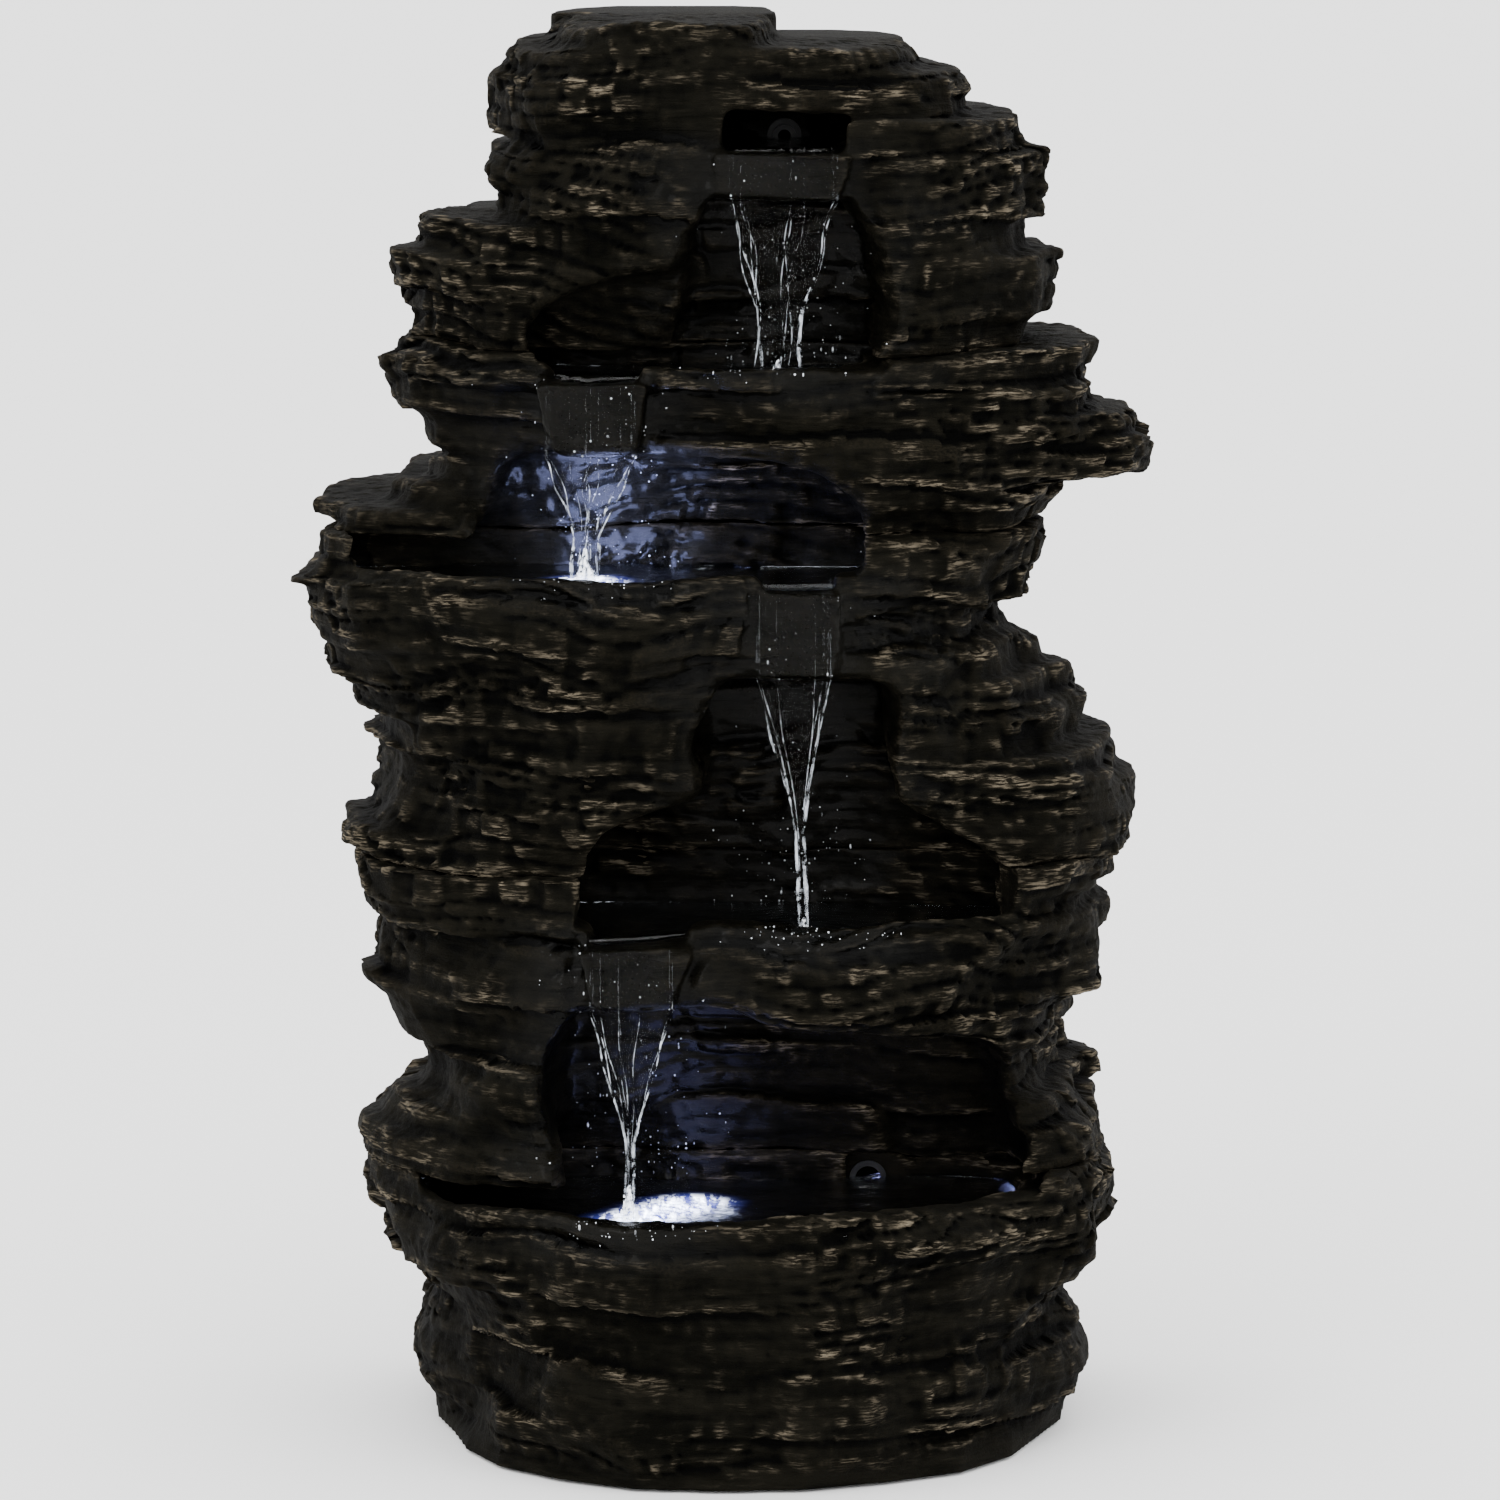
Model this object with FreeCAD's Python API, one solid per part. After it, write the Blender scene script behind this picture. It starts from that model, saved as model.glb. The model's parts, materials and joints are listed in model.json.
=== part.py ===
"""Tiered rock-fall garden fountain: five hollow resin castings stacked on one another, a pump in a
sump behind the bottom pool, a hose that lifts the water to the crown, two submerged lights and a
hinged access door in the flat back.

Millimetres. +X is to the right seen from the front, +Y points at the flat back, +Z is up. The origin
is on the ground under the middle of the bounding box.
"""
import FreeCAD
import Part
import math
import os
from collections import namedtuple
from FreeCAD import Vector

# ---------------------------------------------------------------- driving dimensions
rock_height = 990.0         # ground to the top of the crown
rock_width = 598.0          # over the widest ledges
rock_depth = 430.0          # front of the bottom pool's rim to the flat back
drawn_height = 990.0        # the size at which the rock tables below are drawn
drawn_width = 598.0
drawn_depth = 430.0
wall = 5.0                  # resin wall
slip_gap = 0.15             # radial gap of a push-together fit
running_gap = 0.06          # radial gap of a turning fit
press_gap = 0.02            # radial gap of a piece squeezed round another
stand_off = 0.3             # gap between faces that only come close
rim_wall = 14.0             # thinnest rim that stands in front of a pool
rim_gap = 6.0               # from a lip's side to the gap in the rim over it
spill_depth = 3.0           # how deep the water runs over a lip
foot_stand = 2.0            # foot pads stand this far out of the underside
foot_radius = 19.0
foot_thickness = 8.0
sump_floor = 12.0           # thickness of the tub's floor
port_radius = 9.0           # water return port in the partition
bush_wall = 2.0             # wall of the port, drain and lead bushes
drain_radius = 8.0          # bore of the drain bush
door_width = 168.0
door_height = 130.0
door_thickness = 10.0
door_margin = 18.0          # from the door's edge to the opening's edge
door_centre = 277.0         # drawn height of the door's middle
gasket_thickness = 2.0
gasket_width = 6.0
hinge_pin_radius = 1.5
hinge_knuckle_radius = 4.5
hinge_height = 36.0
leaf_thickness = 1.6
leaf_width = 20.0
screw_radius = 1.6
screw_head_radius = 3.0
screw_head_height = 1.2
pump_length = 56.0          # motor housing, along the rotor
pump_width = 52.0
pump_height = 54.0
pump_foot_height = 7.0
shaft_radius = 1.5
rotor_radius = 9.2
rotor_length = 30.0
impeller_radius = 14.0
hose_bore_radius = 6.3
hose_wall = 1.7
light_radius = 26.0
light_height = 15.0
led_count = 6
light_lead_radius = 1.9
pump_lead_radius = 2.5
gland_bore_radius = 3.6
dowel_radius = 4.0
dowel_length = 36.0

outline_points = 28         # corners of one slab's outline
basin_steps = 12            # sides of a basin's rounded front
front_roundness = 2.5       # exponent of an outline's front quarters, where 2 is an ellipse
back_roundness = 4.0        # exponent of its back quarters, which are boxier
ripple = 0.09               # share of its radius by which a slab's front edge is chipped back
ledge_step = 9.0            # how far a slab's front sides stand out of or in from the casting's
far = 900.0                 # reach of a cutting tool that has to clear the object


def at_x(x):
    """A drawn place across the rock, at the real width."""
    return x * rock_width / drawn_width


def at_y(y):
    """A drawn place along the rock's depth, at the real depth."""
    return y * rock_depth / drawn_depth


def at_z(z):
    """A drawn height on the rock, at the real height."""
    return z * rock_height / drawn_height


back_plane = at_y(205.0)            # outside of the flat back
inner_back = back_plane - wall      # inside of the flat back
outline_centre = at_y(40.0)         # depth about which slab outlines are drawn
underside = at_z(foot_stand)        # lowest face of the bottom casting
floor_top = underside + sump_floor  # inside floor of the bottom casting

# A bay is a hollow in the front, in which water falls: how far back its rear wall stands at its lower
# and at its upper edge, and its outline seen from the front, as (across, height) points anticlockwise.
Bay = namedtuple("Bay", "rear_low rear_high outline")
# A pool: the sides, front and rear of its basin, its floor, its water and the top of its rim.
Pool = namedtuple("Pool", "left right front rear floor water rim")
# A spill lip stands out of a pool's rim: its sides, its front, its lower edge and its side taper.
Lip = namedtuple("Lip", "left right front bottom taper")
# A casting: its lower face, its strata as (upper height, left, right), how far its left and right
# sides come forward at its lower and upper end, how far back its outline is drawn, and its water.
Casting = namedtuple("Casting", "name bottom strata front_low front_high back bays pool lip")
# A scoop is a hollow worn in the tub's rim: its middle, its axis' height, and its radius inside and outside.
Scoop = namedtuple("Scoop", "x height inner outer")
scoops = [Scoop(-125, 270, 82, 112), Scoop(120, 236, 48, 72)]

castings = [
    Casting("base_tub", foot_stand,
            [(24, 204, 246), (45, 206, 247), (66, 204, 254), (87, 198, 248), (107, 197, 242),
             (128, 206, 251), (149, 236, 266), (173, 244, 275), (197, 238, 275)],
            (222, 222), (225.5, 225.5), 225, [],
            Pool(-205, 192, -192, -10, 150, 178, 186), None),
    Casting("lower_tier", 197,
            [(222, 243, 272), (243, 226, 262), (270, 208, 240), (281, 212, 228), (315, 229, 250),
             (343, 238, 272), (371, 236, 269), (385, 246, 256), (409, 254, 274)],
            (168, 186), (150, 160), 225,
            [Bay(-10, -42, [(-118, 197), (198, 197), (208, 226), (212, 262), (192, 290), (120, 300),
                            (34, 306), (4, 322), (-96, 325), (-110, 312)])],
            Pool(-110, 194, -132, 2, 342, 371, 379), Lip(-100, -20, -176, 323, 9)),
    Casting("middle_tier", 409,
            [(430, 256, 290), (457, 230, 299), (485, 228, 286), (513, 244, 246), (537, 266, 234),
             (561, 283, 210), (586, 292, 197), (610, 299, 222), (640, 279, 228)],
            (126, 112), (168, 104), 225,
            [Bay(2, -6, [(-108, 409), (192, 409), (176, 425), (150, 440), (118, 458), (40, 464),
                         (-30, 456), (-74, 442), (-98, 426)]),
             Bay(-4, -14, [(-14, 446), (113, 446), (116, 532), (102, 546), (0, 546), (-12, 534)])],
            Pool(-252, 98, -146, 0, 572, 611, 618), Lip(17, 84, -128, 548, 8)),
    Casting("upper_tier", 640,
            [(656, 274, 218), (672, 226, 226), (693, 198, 290), (717, 209, 293), (742, 220, 262),
             (764, 228, 263)],
            (72, 96), (82, 118), 225,
            [Bay(0, -14, [(-172, 640), (98, 640), (92, 664), (70, 684), (36, 694), (-120, 697),
                          (-158, 690)]),
             Bay(-62, -58, [(-250, 640), (-140, 640), (-140, 658), (-236, 652)])],
            Pool(-130, 104, -92, 14, 722, 750, 757), Lip(-128, -48, -112, 697, 8)),
    Casting("crown", 764,
            [(783, 224, 214), (804, 236, 230), (828, 236, 233), (852, 210, 206), (877, 156, 218),
             (901, 165, 218), (925, 148, 200), (956, 148, 157), (973, 146, 132), (990, 122, 40)],
            (76, 92), (64, 56), 216,
            [Bay(14, 8, [(-36, 764), (112, 764), (117, 784), (107, 842), (93, 872), (-6, 872),
                         (-16, 836), (-32, 800)]),
             Bay(-22, -32, [(-132, 764), (-20, 764), (-20, 818), (-54, 819), (-88, 812), (-116, 798),
                            (-132, 782)])],
            Pool(-8, 98, -30, 84, 882, 904, 928), Lip(-5, 92, -78, 869, 9)),
]


# ---------------------------------------------------------------- small makers
def polygon(points):
    """A closed wire through the points."""
    return Part.makePolygon(points + [points[0]])


def prism(outline, low, high):
    """A solid over a plan outline, between two heights."""
    face = Part.Face(polygon([Vector(x, y, low) for x, y in outline]))
    return face.extrude(Vector(0, 0, high - low))


def box(x0, x1, y0, y1, z0, z1):
    """A box from its limits."""
    return Part.makeBox(x1 - x0, y1 - y0, z1 - z0, Vector(x0, y0, z0))


def rod(radius, start, end):
    """A round bar between two points."""
    return Part.makeCylinder(radius, (end - start).Length, start, end - start)


def tube(outer, inner, start, end):
    """A round pipe between two points."""
    return rod(outer, start, end).cut(rod(inner, start, end))


def cone(start_radius, end_radius, start, end):
    """A round taper between two points."""
    return Part.makeCone(start_radius, end_radius, (end - start).Length, start, end - start)


def joined(shapes):
    """One shape from several that touch."""
    if len(shapes) == 1:
        return shapes[0]
    return shapes[0].fuse(shapes[1:]).removeSplitter()


def swept(radius, points):
    """A round bar along straight runs joined by tangent arcs, its path's length and its arcs' radii. An
    arc takes 0.45 of its shorter run at each end, so its radius is that over the tangent of half the
    turn."""
    edges, radii = [], []
    here = points[0]
    for before, corner, after in zip(points, points[1:], points[2:]):
        into, out = corner - before, after - corner
        half_turn = into.getAngle(out) / 2
        reach = 0.45 * min(into.Length, out.Length)
        into.normalize()
        out.normalize()
        arc_radius = reach / math.tan(half_turn)
        radii.append(round(arc_radius))
        inward = (out - into).normalize()
        start, end = corner - into * reach, corner + out * reach
        middle = corner + inward * arc_radius * (1 / math.cos(half_turn) - 1)
        edges.append(Part.LineSegment(here, start).toShape())
        edges.append(Part.Arc(start, middle, end).toShape())
        here = end
    edges.append(Part.LineSegment(here, points[-1]).toShape())
    path = Part.Wire(edges)
    profile = Part.Wire(Part.makeCircle(radius, points[0], points[1] - points[0]))
    return path.makePipeShell([profile], True, False), path.Length, radii


# ---------------------------------------------------------------- rock
def slab_outline(left, right, front_left, front_right, back, seed):
    """A stratum's plan as (cosine, sine, radius) about the outline centre: a superellipse with its own
    half axis on each side, whose corners between the axes are chipped back by a slow ripple."""
    points = []
    for k in range(outline_points):
        angle = 2 * math.pi * k / outline_points
        c, s = math.cos(angle), math.sin(angle)
        front = front_left + (front_right - front_left) * (c + 1) / 2
        half_x = at_x(right if c > 0 else left)
        half_y = at_y(back) - outline_centre if s > 0 else at_y(front) + outline_centre
        n = back_roundness if s > 0 else front_roundness
        r = (abs(c / half_x) ** n + abs(s / half_y) ** n) ** (-1 / n)
        chips = 1 + math.sin(3 * angle + 1.9 * seed) * math.sin(5 * angle + 2.7 * seed)
        bite = ripple / 2 if s > 0 else ripple
        points.append((c, s, r * (1 - bite * chips / 2 * math.sin(2 * angle) ** 2)))
    return points


def plan(outline, inset=0.0):
    """An outline's points as (x, y), drawn in by an inset."""
    return [(c * (r - inset), outline_centre + s * (r - inset)) for c, s, r in outline]


class Stratum:
    """One slab of a casting: its heights and its outline."""

    def __init__(self, casting, low, high, left, right, seed):
        self.casting, self.low, self.high = casting, at_z(low), at_z(high)
        top = casting.strata[-1][0]
        share = ((low + high) / 2 - casting.bottom) / (top - casting.bottom)
        front_left, front_right = (a + (b - a) * share
                                   for a, b in zip(casting.front_low, casting.front_high))
        step = ledge_step * math.sin(2.4 * seed)
        self.outline = slab_outline(left, right, front_left + step, front_right - step,
                                    casting.back, seed)

    def solid(self):
        """The whole slab, cut flat at the back."""
        whole = prism(plan(self.outline), self.low, self.high)
        return whole.cut(box(-far, far, back_plane, far, -far, 2 * far))


def all_strata():
    """Every slab from the ground up, in one list."""
    strata = []
    for casting in castings:
        low = casting.bottom
        for high, left, right in casting.strata:
            strata.append(Stratum(casting, low, high, left, right, len(strata)))
            low = high
    return strata


def cavity_slab(strata, k):
    """The hollow inside slab k: a wall inside the tightest of it and its two neighbours, so that a
    ledge stays a whole slab thick."""
    near = strata[max(k - 1, 0):k + 2]
    tightest = [(p[0][0], p[0][1], min(c[2] for c in p)) for p in zip(*(s.outline for s in near))]
    whole = prism(plan(tightest, wall), strata[k].low, strata[k].high)
    return whole.cut(box(-far, far, inner_back, far, -far, 2 * far))


def grown(points, by):
    """A closed outline, anticlockwise, with every side moved outwards."""
    moved = []
    for before, here, after in zip([points[-1]] + points, points, points[1:] + [points[0]]):
        (ax, ay), (bx, by_) = ((q[1] - p[1], p[0] - q[0]) for p, q in ((before, here), (here, after)))
        first, second = math.hypot(ax, ay), math.hypot(bx, by_)
        ax, ay, bx, by_ = ax / first, ay / first, bx / second, by_ / second
        reach = by / (1 + ax * bx + ay * by_)
        moved.append((here[0] + (ax + bx) * reach, here[1] + (ay + by_) * reach))
    return moved


def bay_block(bay, grow=0.0):
    """The space of a bay, open to the front, grown by a wall at its sides, rear, floor and roof."""
    outline = grown([(at_x(x), at_z(z)) for x, z in bay.outline], grow)
    low, high = min(z for x, z in outline), max(z for x, z in outline)
    whole = Part.Face(polygon([Vector(x, -far, z) for x, z in outline])).extrude(Vector(0, 2 * far, 0))
    rear_low, rear_high = at_y(bay.rear_low) + grow, at_y(bay.rear_high) + grow
    behind = polygon([Vector(-far, rear_low, low), Vector(-far, rear_high, high), Vector(-far, 2 * far, high),
                      Vector(-far, 2 * far, low)])
    return whole.cut(Part.Face(behind).extrude(Vector(2 * far, 0, 0)))


def bay_sides(bay):
    """How far left and right a bay reaches, as drawn."""
    return min(x for x, z in bay.outline), max(x for x, z in bay.outline)


def pool_outline(pool):
    """The plan of a pool's basin: straight along its rear wall, rounded towards its front."""
    left, right = at_x(pool.left), at_x(pool.right)
    front, rear = at_y(pool.front), at_y(pool.rear)
    middle, half = (left + right) / 2, (right - left) / 2
    straight = (rear - front) * 0.3
    points = [(right, rear), (left, rear)]
    for k in range(basin_steps + 1):
        angle = math.pi * (1 + k / basin_steps)
        c, s = math.cos(angle), math.sin(angle)
        r = (abs(c) ** front_roundness + abs(s) ** front_roundness) ** (-1 / front_roundness)
        points.append((middle + half * c * r, rear - straight + (rear - straight - front) * s * r))
    return points


def pool_basin(pool, slabs, top):
    """The space of a pool's basin: its plan, kept a rim's wall inside the slabs that it sinks through."""
    near = [slab for slab in slabs if slab.high > at_z(pool.floor) and slab.low < top]
    tightest = [(p[0][0], p[0][1], min(c[2] for c in p)) for p in zip(*(s.outline for s in near))]
    inside = prism(plan(tightest, rim_wall), at_z(pool.floor), top)
    return prism(pool_outline(pool), at_z(pool.floor), top).common(inside)


def pool_keep(pool, above):
    """The rock that stays solid round a pool: from a wall under its floor up, back to a wall behind it,
    and as wide as the pool or the bay above it. Where nothing stands above, it ends a wall over the rim."""
    sides = [pool.left, pool.right] + (list(bay_sides(above.bays[0])) if above else [])
    top = 2 * far if above else at_z(pool.rim) + wall
    return box(at_x(min(sides)) - wall, at_x(max(sides)) + wall, -far, at_y(pool.rear) + wall,
               at_z(pool.floor) - wall, top)


def lip_solid(pool, lip):
    """A spill lip: a block whose front tapers downwards, from its front back into the pool's rim."""
    left, right, taper = at_x(lip.left), at_x(lip.right), at_x(lip.taper)
    top, bottom, front = at_z(pool.water) - spill_depth, at_z(lip.bottom), at_y(lip.front)
    face = polygon([Vector(left, front, top), Vector(right, front, top),
                    Vector(right - taper, front, bottom), Vector(left + taper, front, bottom)])
    return Part.Face(face).extrude(Vector(0, at_y(pool.rear) - front, 0))


def lip_channel(pool, lip):
    """The gap in the rim through which the pool spills over its lip."""
    return box(at_x(lip.left) + rim_gap, at_x(lip.right) - rim_gap, at_y(lip.front) - 1,
               at_y(pool.rear) - wall, at_z(pool.water) - spill_depth, at_z(pool.rim) + 1)


def tub_hollow(strata, mine, pool):
    """The bottom casting's hollow: a reservoir under the pool's floor, and a sump behind the partition
    that is open at the top."""
    slabs = joined([cavity_slab(strata, k) for k in mine])
    front = box(-far, far, -far, at_y(pool.rear), floor_top, at_z(pool.floor))
    rear = box(-far, far, at_y(pool.rear) + wall, far, floor_top, 2 * far)
    return slabs.common(front.fuse(rear))


def tier_hollow(index, strata, mine):
    """An upper casting's hollow: open to its neighbours at the back, closed below at the front."""
    casting, below = castings[index], castings[index - 1]
    above = castings[index + 1] if index + 1 < len(castings) else None
    slabs = mine if above else mine[:-1]
    hollow = joined([cavity_slab(strata, k) for k in slabs]).cut(pool_keep(casting.pool, above))
    low = strata[mine[0]].low
    hollow = hollow.cut(box(-far, far, -far, at_y(below.pool.rear) + wall, low, low + wall))
    for bay in casting.bays + (above.bays if above else []):
        hollow = hollow.cut(bay_block(bay, wall))
    return hollow


def rock(index, strata):
    """One casting: its slabs and lip, less its bays, hollow, pool, spill channel and open front."""
    casting = castings[index]
    pool, lip = casting.pool, casting.lip
    mine = [k for k, s in enumerate(strata) if s.casting is casting]
    high = strata[mine[-1]].high
    solid = joined([strata[k].solid() for k in mine])
    for bay in casting.bays:
        solid = solid.cut(bay_block(bay))
    if lip:
        solid = solid.fuse(lip_solid(pool, lip))
    solid = solid.cut(tier_hollow(index, strata, mine) if lip else tub_hollow(strata, mine, pool))
    covered = casting is castings[-1]
    basin_top = at_z(pool.rim) if covered else high + 1
    solid = solid.cut(pool_basin(pool, [strata[k] for k in mine], basin_top))
    if lip:
        solid = solid.cut(lip_channel(pool, lip))
    if not covered:
        bay = castings[index + 1].bays[0]
        left, right = bay_sides(bay)
        solid = solid.cut(box(at_x(min(left, pool.left)), at_x(max(right, pool.right)), -far,
                              at_y(min(bay.rear_low, pool.rear)), at_z(pool.rim), high + 1))
    return solid.removeSplitter()


# ---------------------------------------------------------------- places that several pieces share
boss_radius = 12.0
boss_reach = dowel_length / 2 + 8       # how far a dowel boss runs from its seam
rib_width = 8.0
dowel_y = inner_back - 33
pool_light_place = Vector(at_x(-20), at_y(-100), at_z(132))
tier_light_place = Vector(at_x(-90), at_y(-88), at_z(castings[2].pool.floor))
lead_rise = 8.0                         # a light's lead over the light's underside
grommet_wall = 2.3
port_place = Vector(at_x(104), at_y(castings[0].pool.rear), at_z(176))
drain_place = Vector(at_x(-110), back_plane, floor_top + 16)
drain_flange = 2.5
spout_place = Vector(at_x(45), at_y(castings[-1].pool.rear), at_z(905))
hose_x = spout_place.x
hose_y = inner_back - 20
hose_outer = hose_bore_radius + hose_wall
pump_front = at_x(-20)                  # joint face of the motor housing and the volute
pump_y = at_y(95)
pump_z = floor_top + pump_foot_height + pump_height / 2
door_z = at_z(door_centre)
door_half = door_width / 2
junction_left = door_half + 9            # the junction box stands just beside the door's frame
gland_place = Vector(junction_left + 39, back_plane, at_z(272))
opening_half_x = door_half - door_margin
opening_half_z = door_height / 2 - door_margin
frame_depth = 10.0                      # thickening of the back round the door
door_inner = back_plane + gasket_thickness + stand_off
door_outer = door_inner + door_thickness
hinge_axis = Vector(-door_half - 6, door_inner + door_thickness / 2, 0)
hinge_places = [door_z - 38, door_z + 38]
screw_spread = 11.0                     # a hinge screw's distance over or under its hinge's middle
casting_screw_x = hinge_axis.x - 15     # middle of the casting leaf's plate
door_screw_x = -door_half + 14          # middle of the door leaf's plate
screw_depth = 8.0
magnet_width = 7.0
magnet_height = 20.0
magnet_depth = 6.0                      # how far the magnet sits in the casting
magnet_x = door_half - 6                # middle of the magnet
strike_thickness = 1.5


def upright(place, rise):
    """A point over a place."""
    return place + Vector(0, 0, rise)


def along_y(place, reach):
    """A point behind a place."""
    return place + Vector(0, reach, 0)


def dowel_places(index):
    """The two dowels in the seam under a casting."""
    spread = at_x(100 if castings[index] is castings[-1] else 150)
    return [Vector(side * spread, dowel_y, at_z(castings[index].bottom)) for side in (-1, 1)]


def with_dowels(shape, index):
    """A casting with a drilled boss for each dowel at its seams, ribbed to its back."""
    for up, seam in ((1, index), (-1, index + 1)):
        if not 0 < seam < len(castings):
            continue
        for place in dowel_places(seam):
            end = upright(place, up * boss_reach)
            low, high = sorted((place.z, end.z))
            rib = box(place.x - rib_width / 2, place.x + rib_width / 2, place.y, inner_back + wall / 2,
                      low, high)
            hole = rod(dowel_radius + slip_gap, place, upright(place, up * (dowel_length / 2 + 1)))
            shape = shape.fuse([rod(boss_radius, place, end), rib]).cut(hole)
    return shape


def foot_places():
    """The four feet, under the corners of the tub."""
    return [Vector(at_x(x), at_y(y), 0) for x in (-120, 120) for y in (-120, 140)]


def base_tub(shape):
    """The tub's foot sockets, light pedestal, drain, return port, transfer slots and lead hole."""
    pool = castings[0].pool
    partition = at_y(pool.rear)
    for place in foot_places():
        shape = shape.cut(rod(foot_radius + slip_gap, place, upright(place, foot_thickness)))
    for x in (-1, 1):
        for y in (-1, 1):
            foot = suction_foot_place(x, y)
            shape = shape.fuse(rod(boss_radius, foot, upright(foot, -sump_floor / 2)))
    base = Vector(pool_light_place.x, pool_light_place.y, floor_top - sump_floor / 2)
    pedestal_radius, well_radius, well_height = light_radius + 4, light_radius + 8, 50
    shape = shape.fuse(rod(pedestal_radius, base, pool_light_place))
    well = rod(well_radius, pool_light_place, upright(pool_light_place, well_height))
    shape = shape.cut([scoop_cut(scoop, pool) for scoop in scoops] + [well])
    shape = shape.cut(through_partition(pool_light_place, partition, light_lead_radius))
    drain_hole = drain_radius + bush_wall + slip_gap
    shape = shape.cut(rod(drain_hole, along_y(drain_place, -wall - 1), along_y(drain_place, 1)))
    port_hole = port_radius + bush_wall + slip_gap
    shape = shape.cut(rod(port_hole, along_y(port_place, -1), along_y(port_place, wall + 1)))
    drain_width, drain_height = 20, 8
    for x in (-70, 0, 70):
        shape = shape.cut(box(at_x(x) - drain_width / 2, at_x(x) + drain_width / 2, partition - 1,
                              partition + wall + 1, floor_top, floor_top + drain_height))
    return shape


def scoop_cut(scoop, pool):
    """A cone along Y that wears the rim down from just outside the pool's edge."""
    clear_of_pool, reach = 2, 45
    inner = Vector(at_x(scoop.x), at_y(pool.front) - clear_of_pool, at_z(scoop.height))
    return cone(scoop.inner, scoop.outer, inner, along_y(inner, -reach))


def through_partition(light_place, partition, lead_radius):
    """The hole for a lead's grommet in the wall behind a pool."""
    start = Vector(light_place.x, partition - 1, light_place.z + lead_rise)
    return rod(lead_radius + grommet_wall + slip_gap, start, along_y(start, wall + 2))


def lower_tier(shape):
    """The lower tier's door frame and opening, hinge screw holes, magnet pocket and gland hole."""
    beside_leaf = 4
    frame = box(hinge_axis.x - leaf_width - beside_leaf, door_half, inner_back - frame_depth,
                inner_back + wall / 2,
                door_z - door_height / 2, door_z + door_height / 2)
    shape = shape.fuse(frame)
    opening = box(-opening_half_x, opening_half_x, inner_back - frame_depth - 1, back_plane + 1,
                  door_z - opening_half_z, door_z + opening_half_z)
    pocket = box(magnet_x - magnet_width / 2 - slip_gap, magnet_x + magnet_width / 2 + slip_gap,
                 back_plane - magnet_depth, back_plane + 1,
                 door_z - magnet_height / 2 - slip_gap, door_z + magnet_height / 2 + slip_gap)
    gland = rod(gland_radius + slip_gap, along_y(gland_place, -wall - 1), along_y(gland_place, 1))
    holes = [screw_hole(casting_screw_x, back_plane, z, 1) for z in screw_heights()]
    return shape.cut([opening, pocket, gland] + holes)


def crown(shape):
    """The crown's hole for the spout, through the wall behind its basin."""
    return shape.cut(rod(spout_radius + slip_gap, along_y(spout_place, -1), along_y(spout_place, wall + 1)))


def middle_tier(shape):
    """The middle tier's hole for its light's lead."""
    return shape.cut(through_partition(tier_light_place, at_y(castings[2].pool.rear), light_lead_radius))


# ---------------------------------------------------------------- door and its hardware
def screw_heights():
    """The heights of the hinge screws."""
    return [z + side * screw_spread for z in hinge_places for side in (-1, 1)]


def screw_hole(x, face, z, reach):
    """A pilot hole for a hinge screw, from a little in front of a face into it."""
    return rod(screw_radius + running_gap, Vector(x, face + reach, z), Vector(x, face - screw_depth - 1, z))


def screws(x, seat):
    """Hinge screws with their heads on a leaf's outer face."""
    pieces = []
    for z in screw_heights():
        head = Vector(x, seat, z)
        tip = along_y(head, -leaf_thickness - screw_depth)
        pieces.append(rod(screw_radius, head, tip).fuse(rod(screw_head_radius, head,
                                                            along_y(head, screw_head_height))))
    return Part.makeCompound(pieces)


def access_door():
    """The door: a panel with rounded outer edges, a pull lip on its free edge, and a strike recess."""
    panel = box(-door_half, door_half, door_inner, door_outer, door_z - door_height / 2,
                door_z + door_height / 2)
    rims = [e for e in panel.Edges if e.BoundBox.YMin > door_outer - 1]
    edge_radius, lip_width, lip_height, lip_depth, lip_radius = 2, 6, 50, 8, 1.5
    panel = panel.makeFillet(edge_radius, rims)
    lip = box(door_half - lip_width - 2, door_half - 2, door_outer - 1, door_outer + lip_depth,
              door_z - lip_height / 2, door_z + lip_height / 2)
    lip = lip.makeFillet(lip_radius, [e for e in lip.Edges if e.BoundBox.YMin > door_outer + lip_depth - 1])
    strike = box(magnet_x - magnet_width / 2 - slip_gap, magnet_x + magnet_width / 2 + slip_gap,
                 door_inner - 1, door_inner + strike_thickness,
                 door_z - magnet_height / 2 - slip_gap, door_z + magnet_height / 2 + slip_gap)
    holes = [screw_hole(door_screw_x, door_outer, z, 1) for z in screw_heights()]
    return panel.fuse(lip).removeSplitter().cut([strike] + holes)


def door_gasket():
    """A flat rubber ring on the back, round the opening."""
    inner, outer = 1, 1 + gasket_width
    ring = [box(-opening_half_x - grow, opening_half_x + grow, back_plane, back_plane + gasket_thickness,
                door_z - opening_half_z - grow, door_z + opening_half_z + grow) for grow in (outer, inner)]
    return ring[0].cut(ring[1])


def knuckles(middle):
    """The heights of a hinge's three knuckles: lower, fixed middle and upper."""
    third, gap = hinge_height / 3, stand_off / 2
    low = middle - hinge_height / 2
    return [(low, low + third - gap), (low + third + gap, low + 2 * third - gap),
            (low + 2 * third + gap, low + hinge_height)]


def hinge_bore(shape):
    """A leaf with its pin's bore."""
    low, high = Vector(hinge_axis.x, hinge_axis.y, 0), Vector(hinge_axis.x, hinge_axis.y, 2 * far)
    return shape.cut(rod(hinge_pin_radius + running_gap, low, high))


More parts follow.
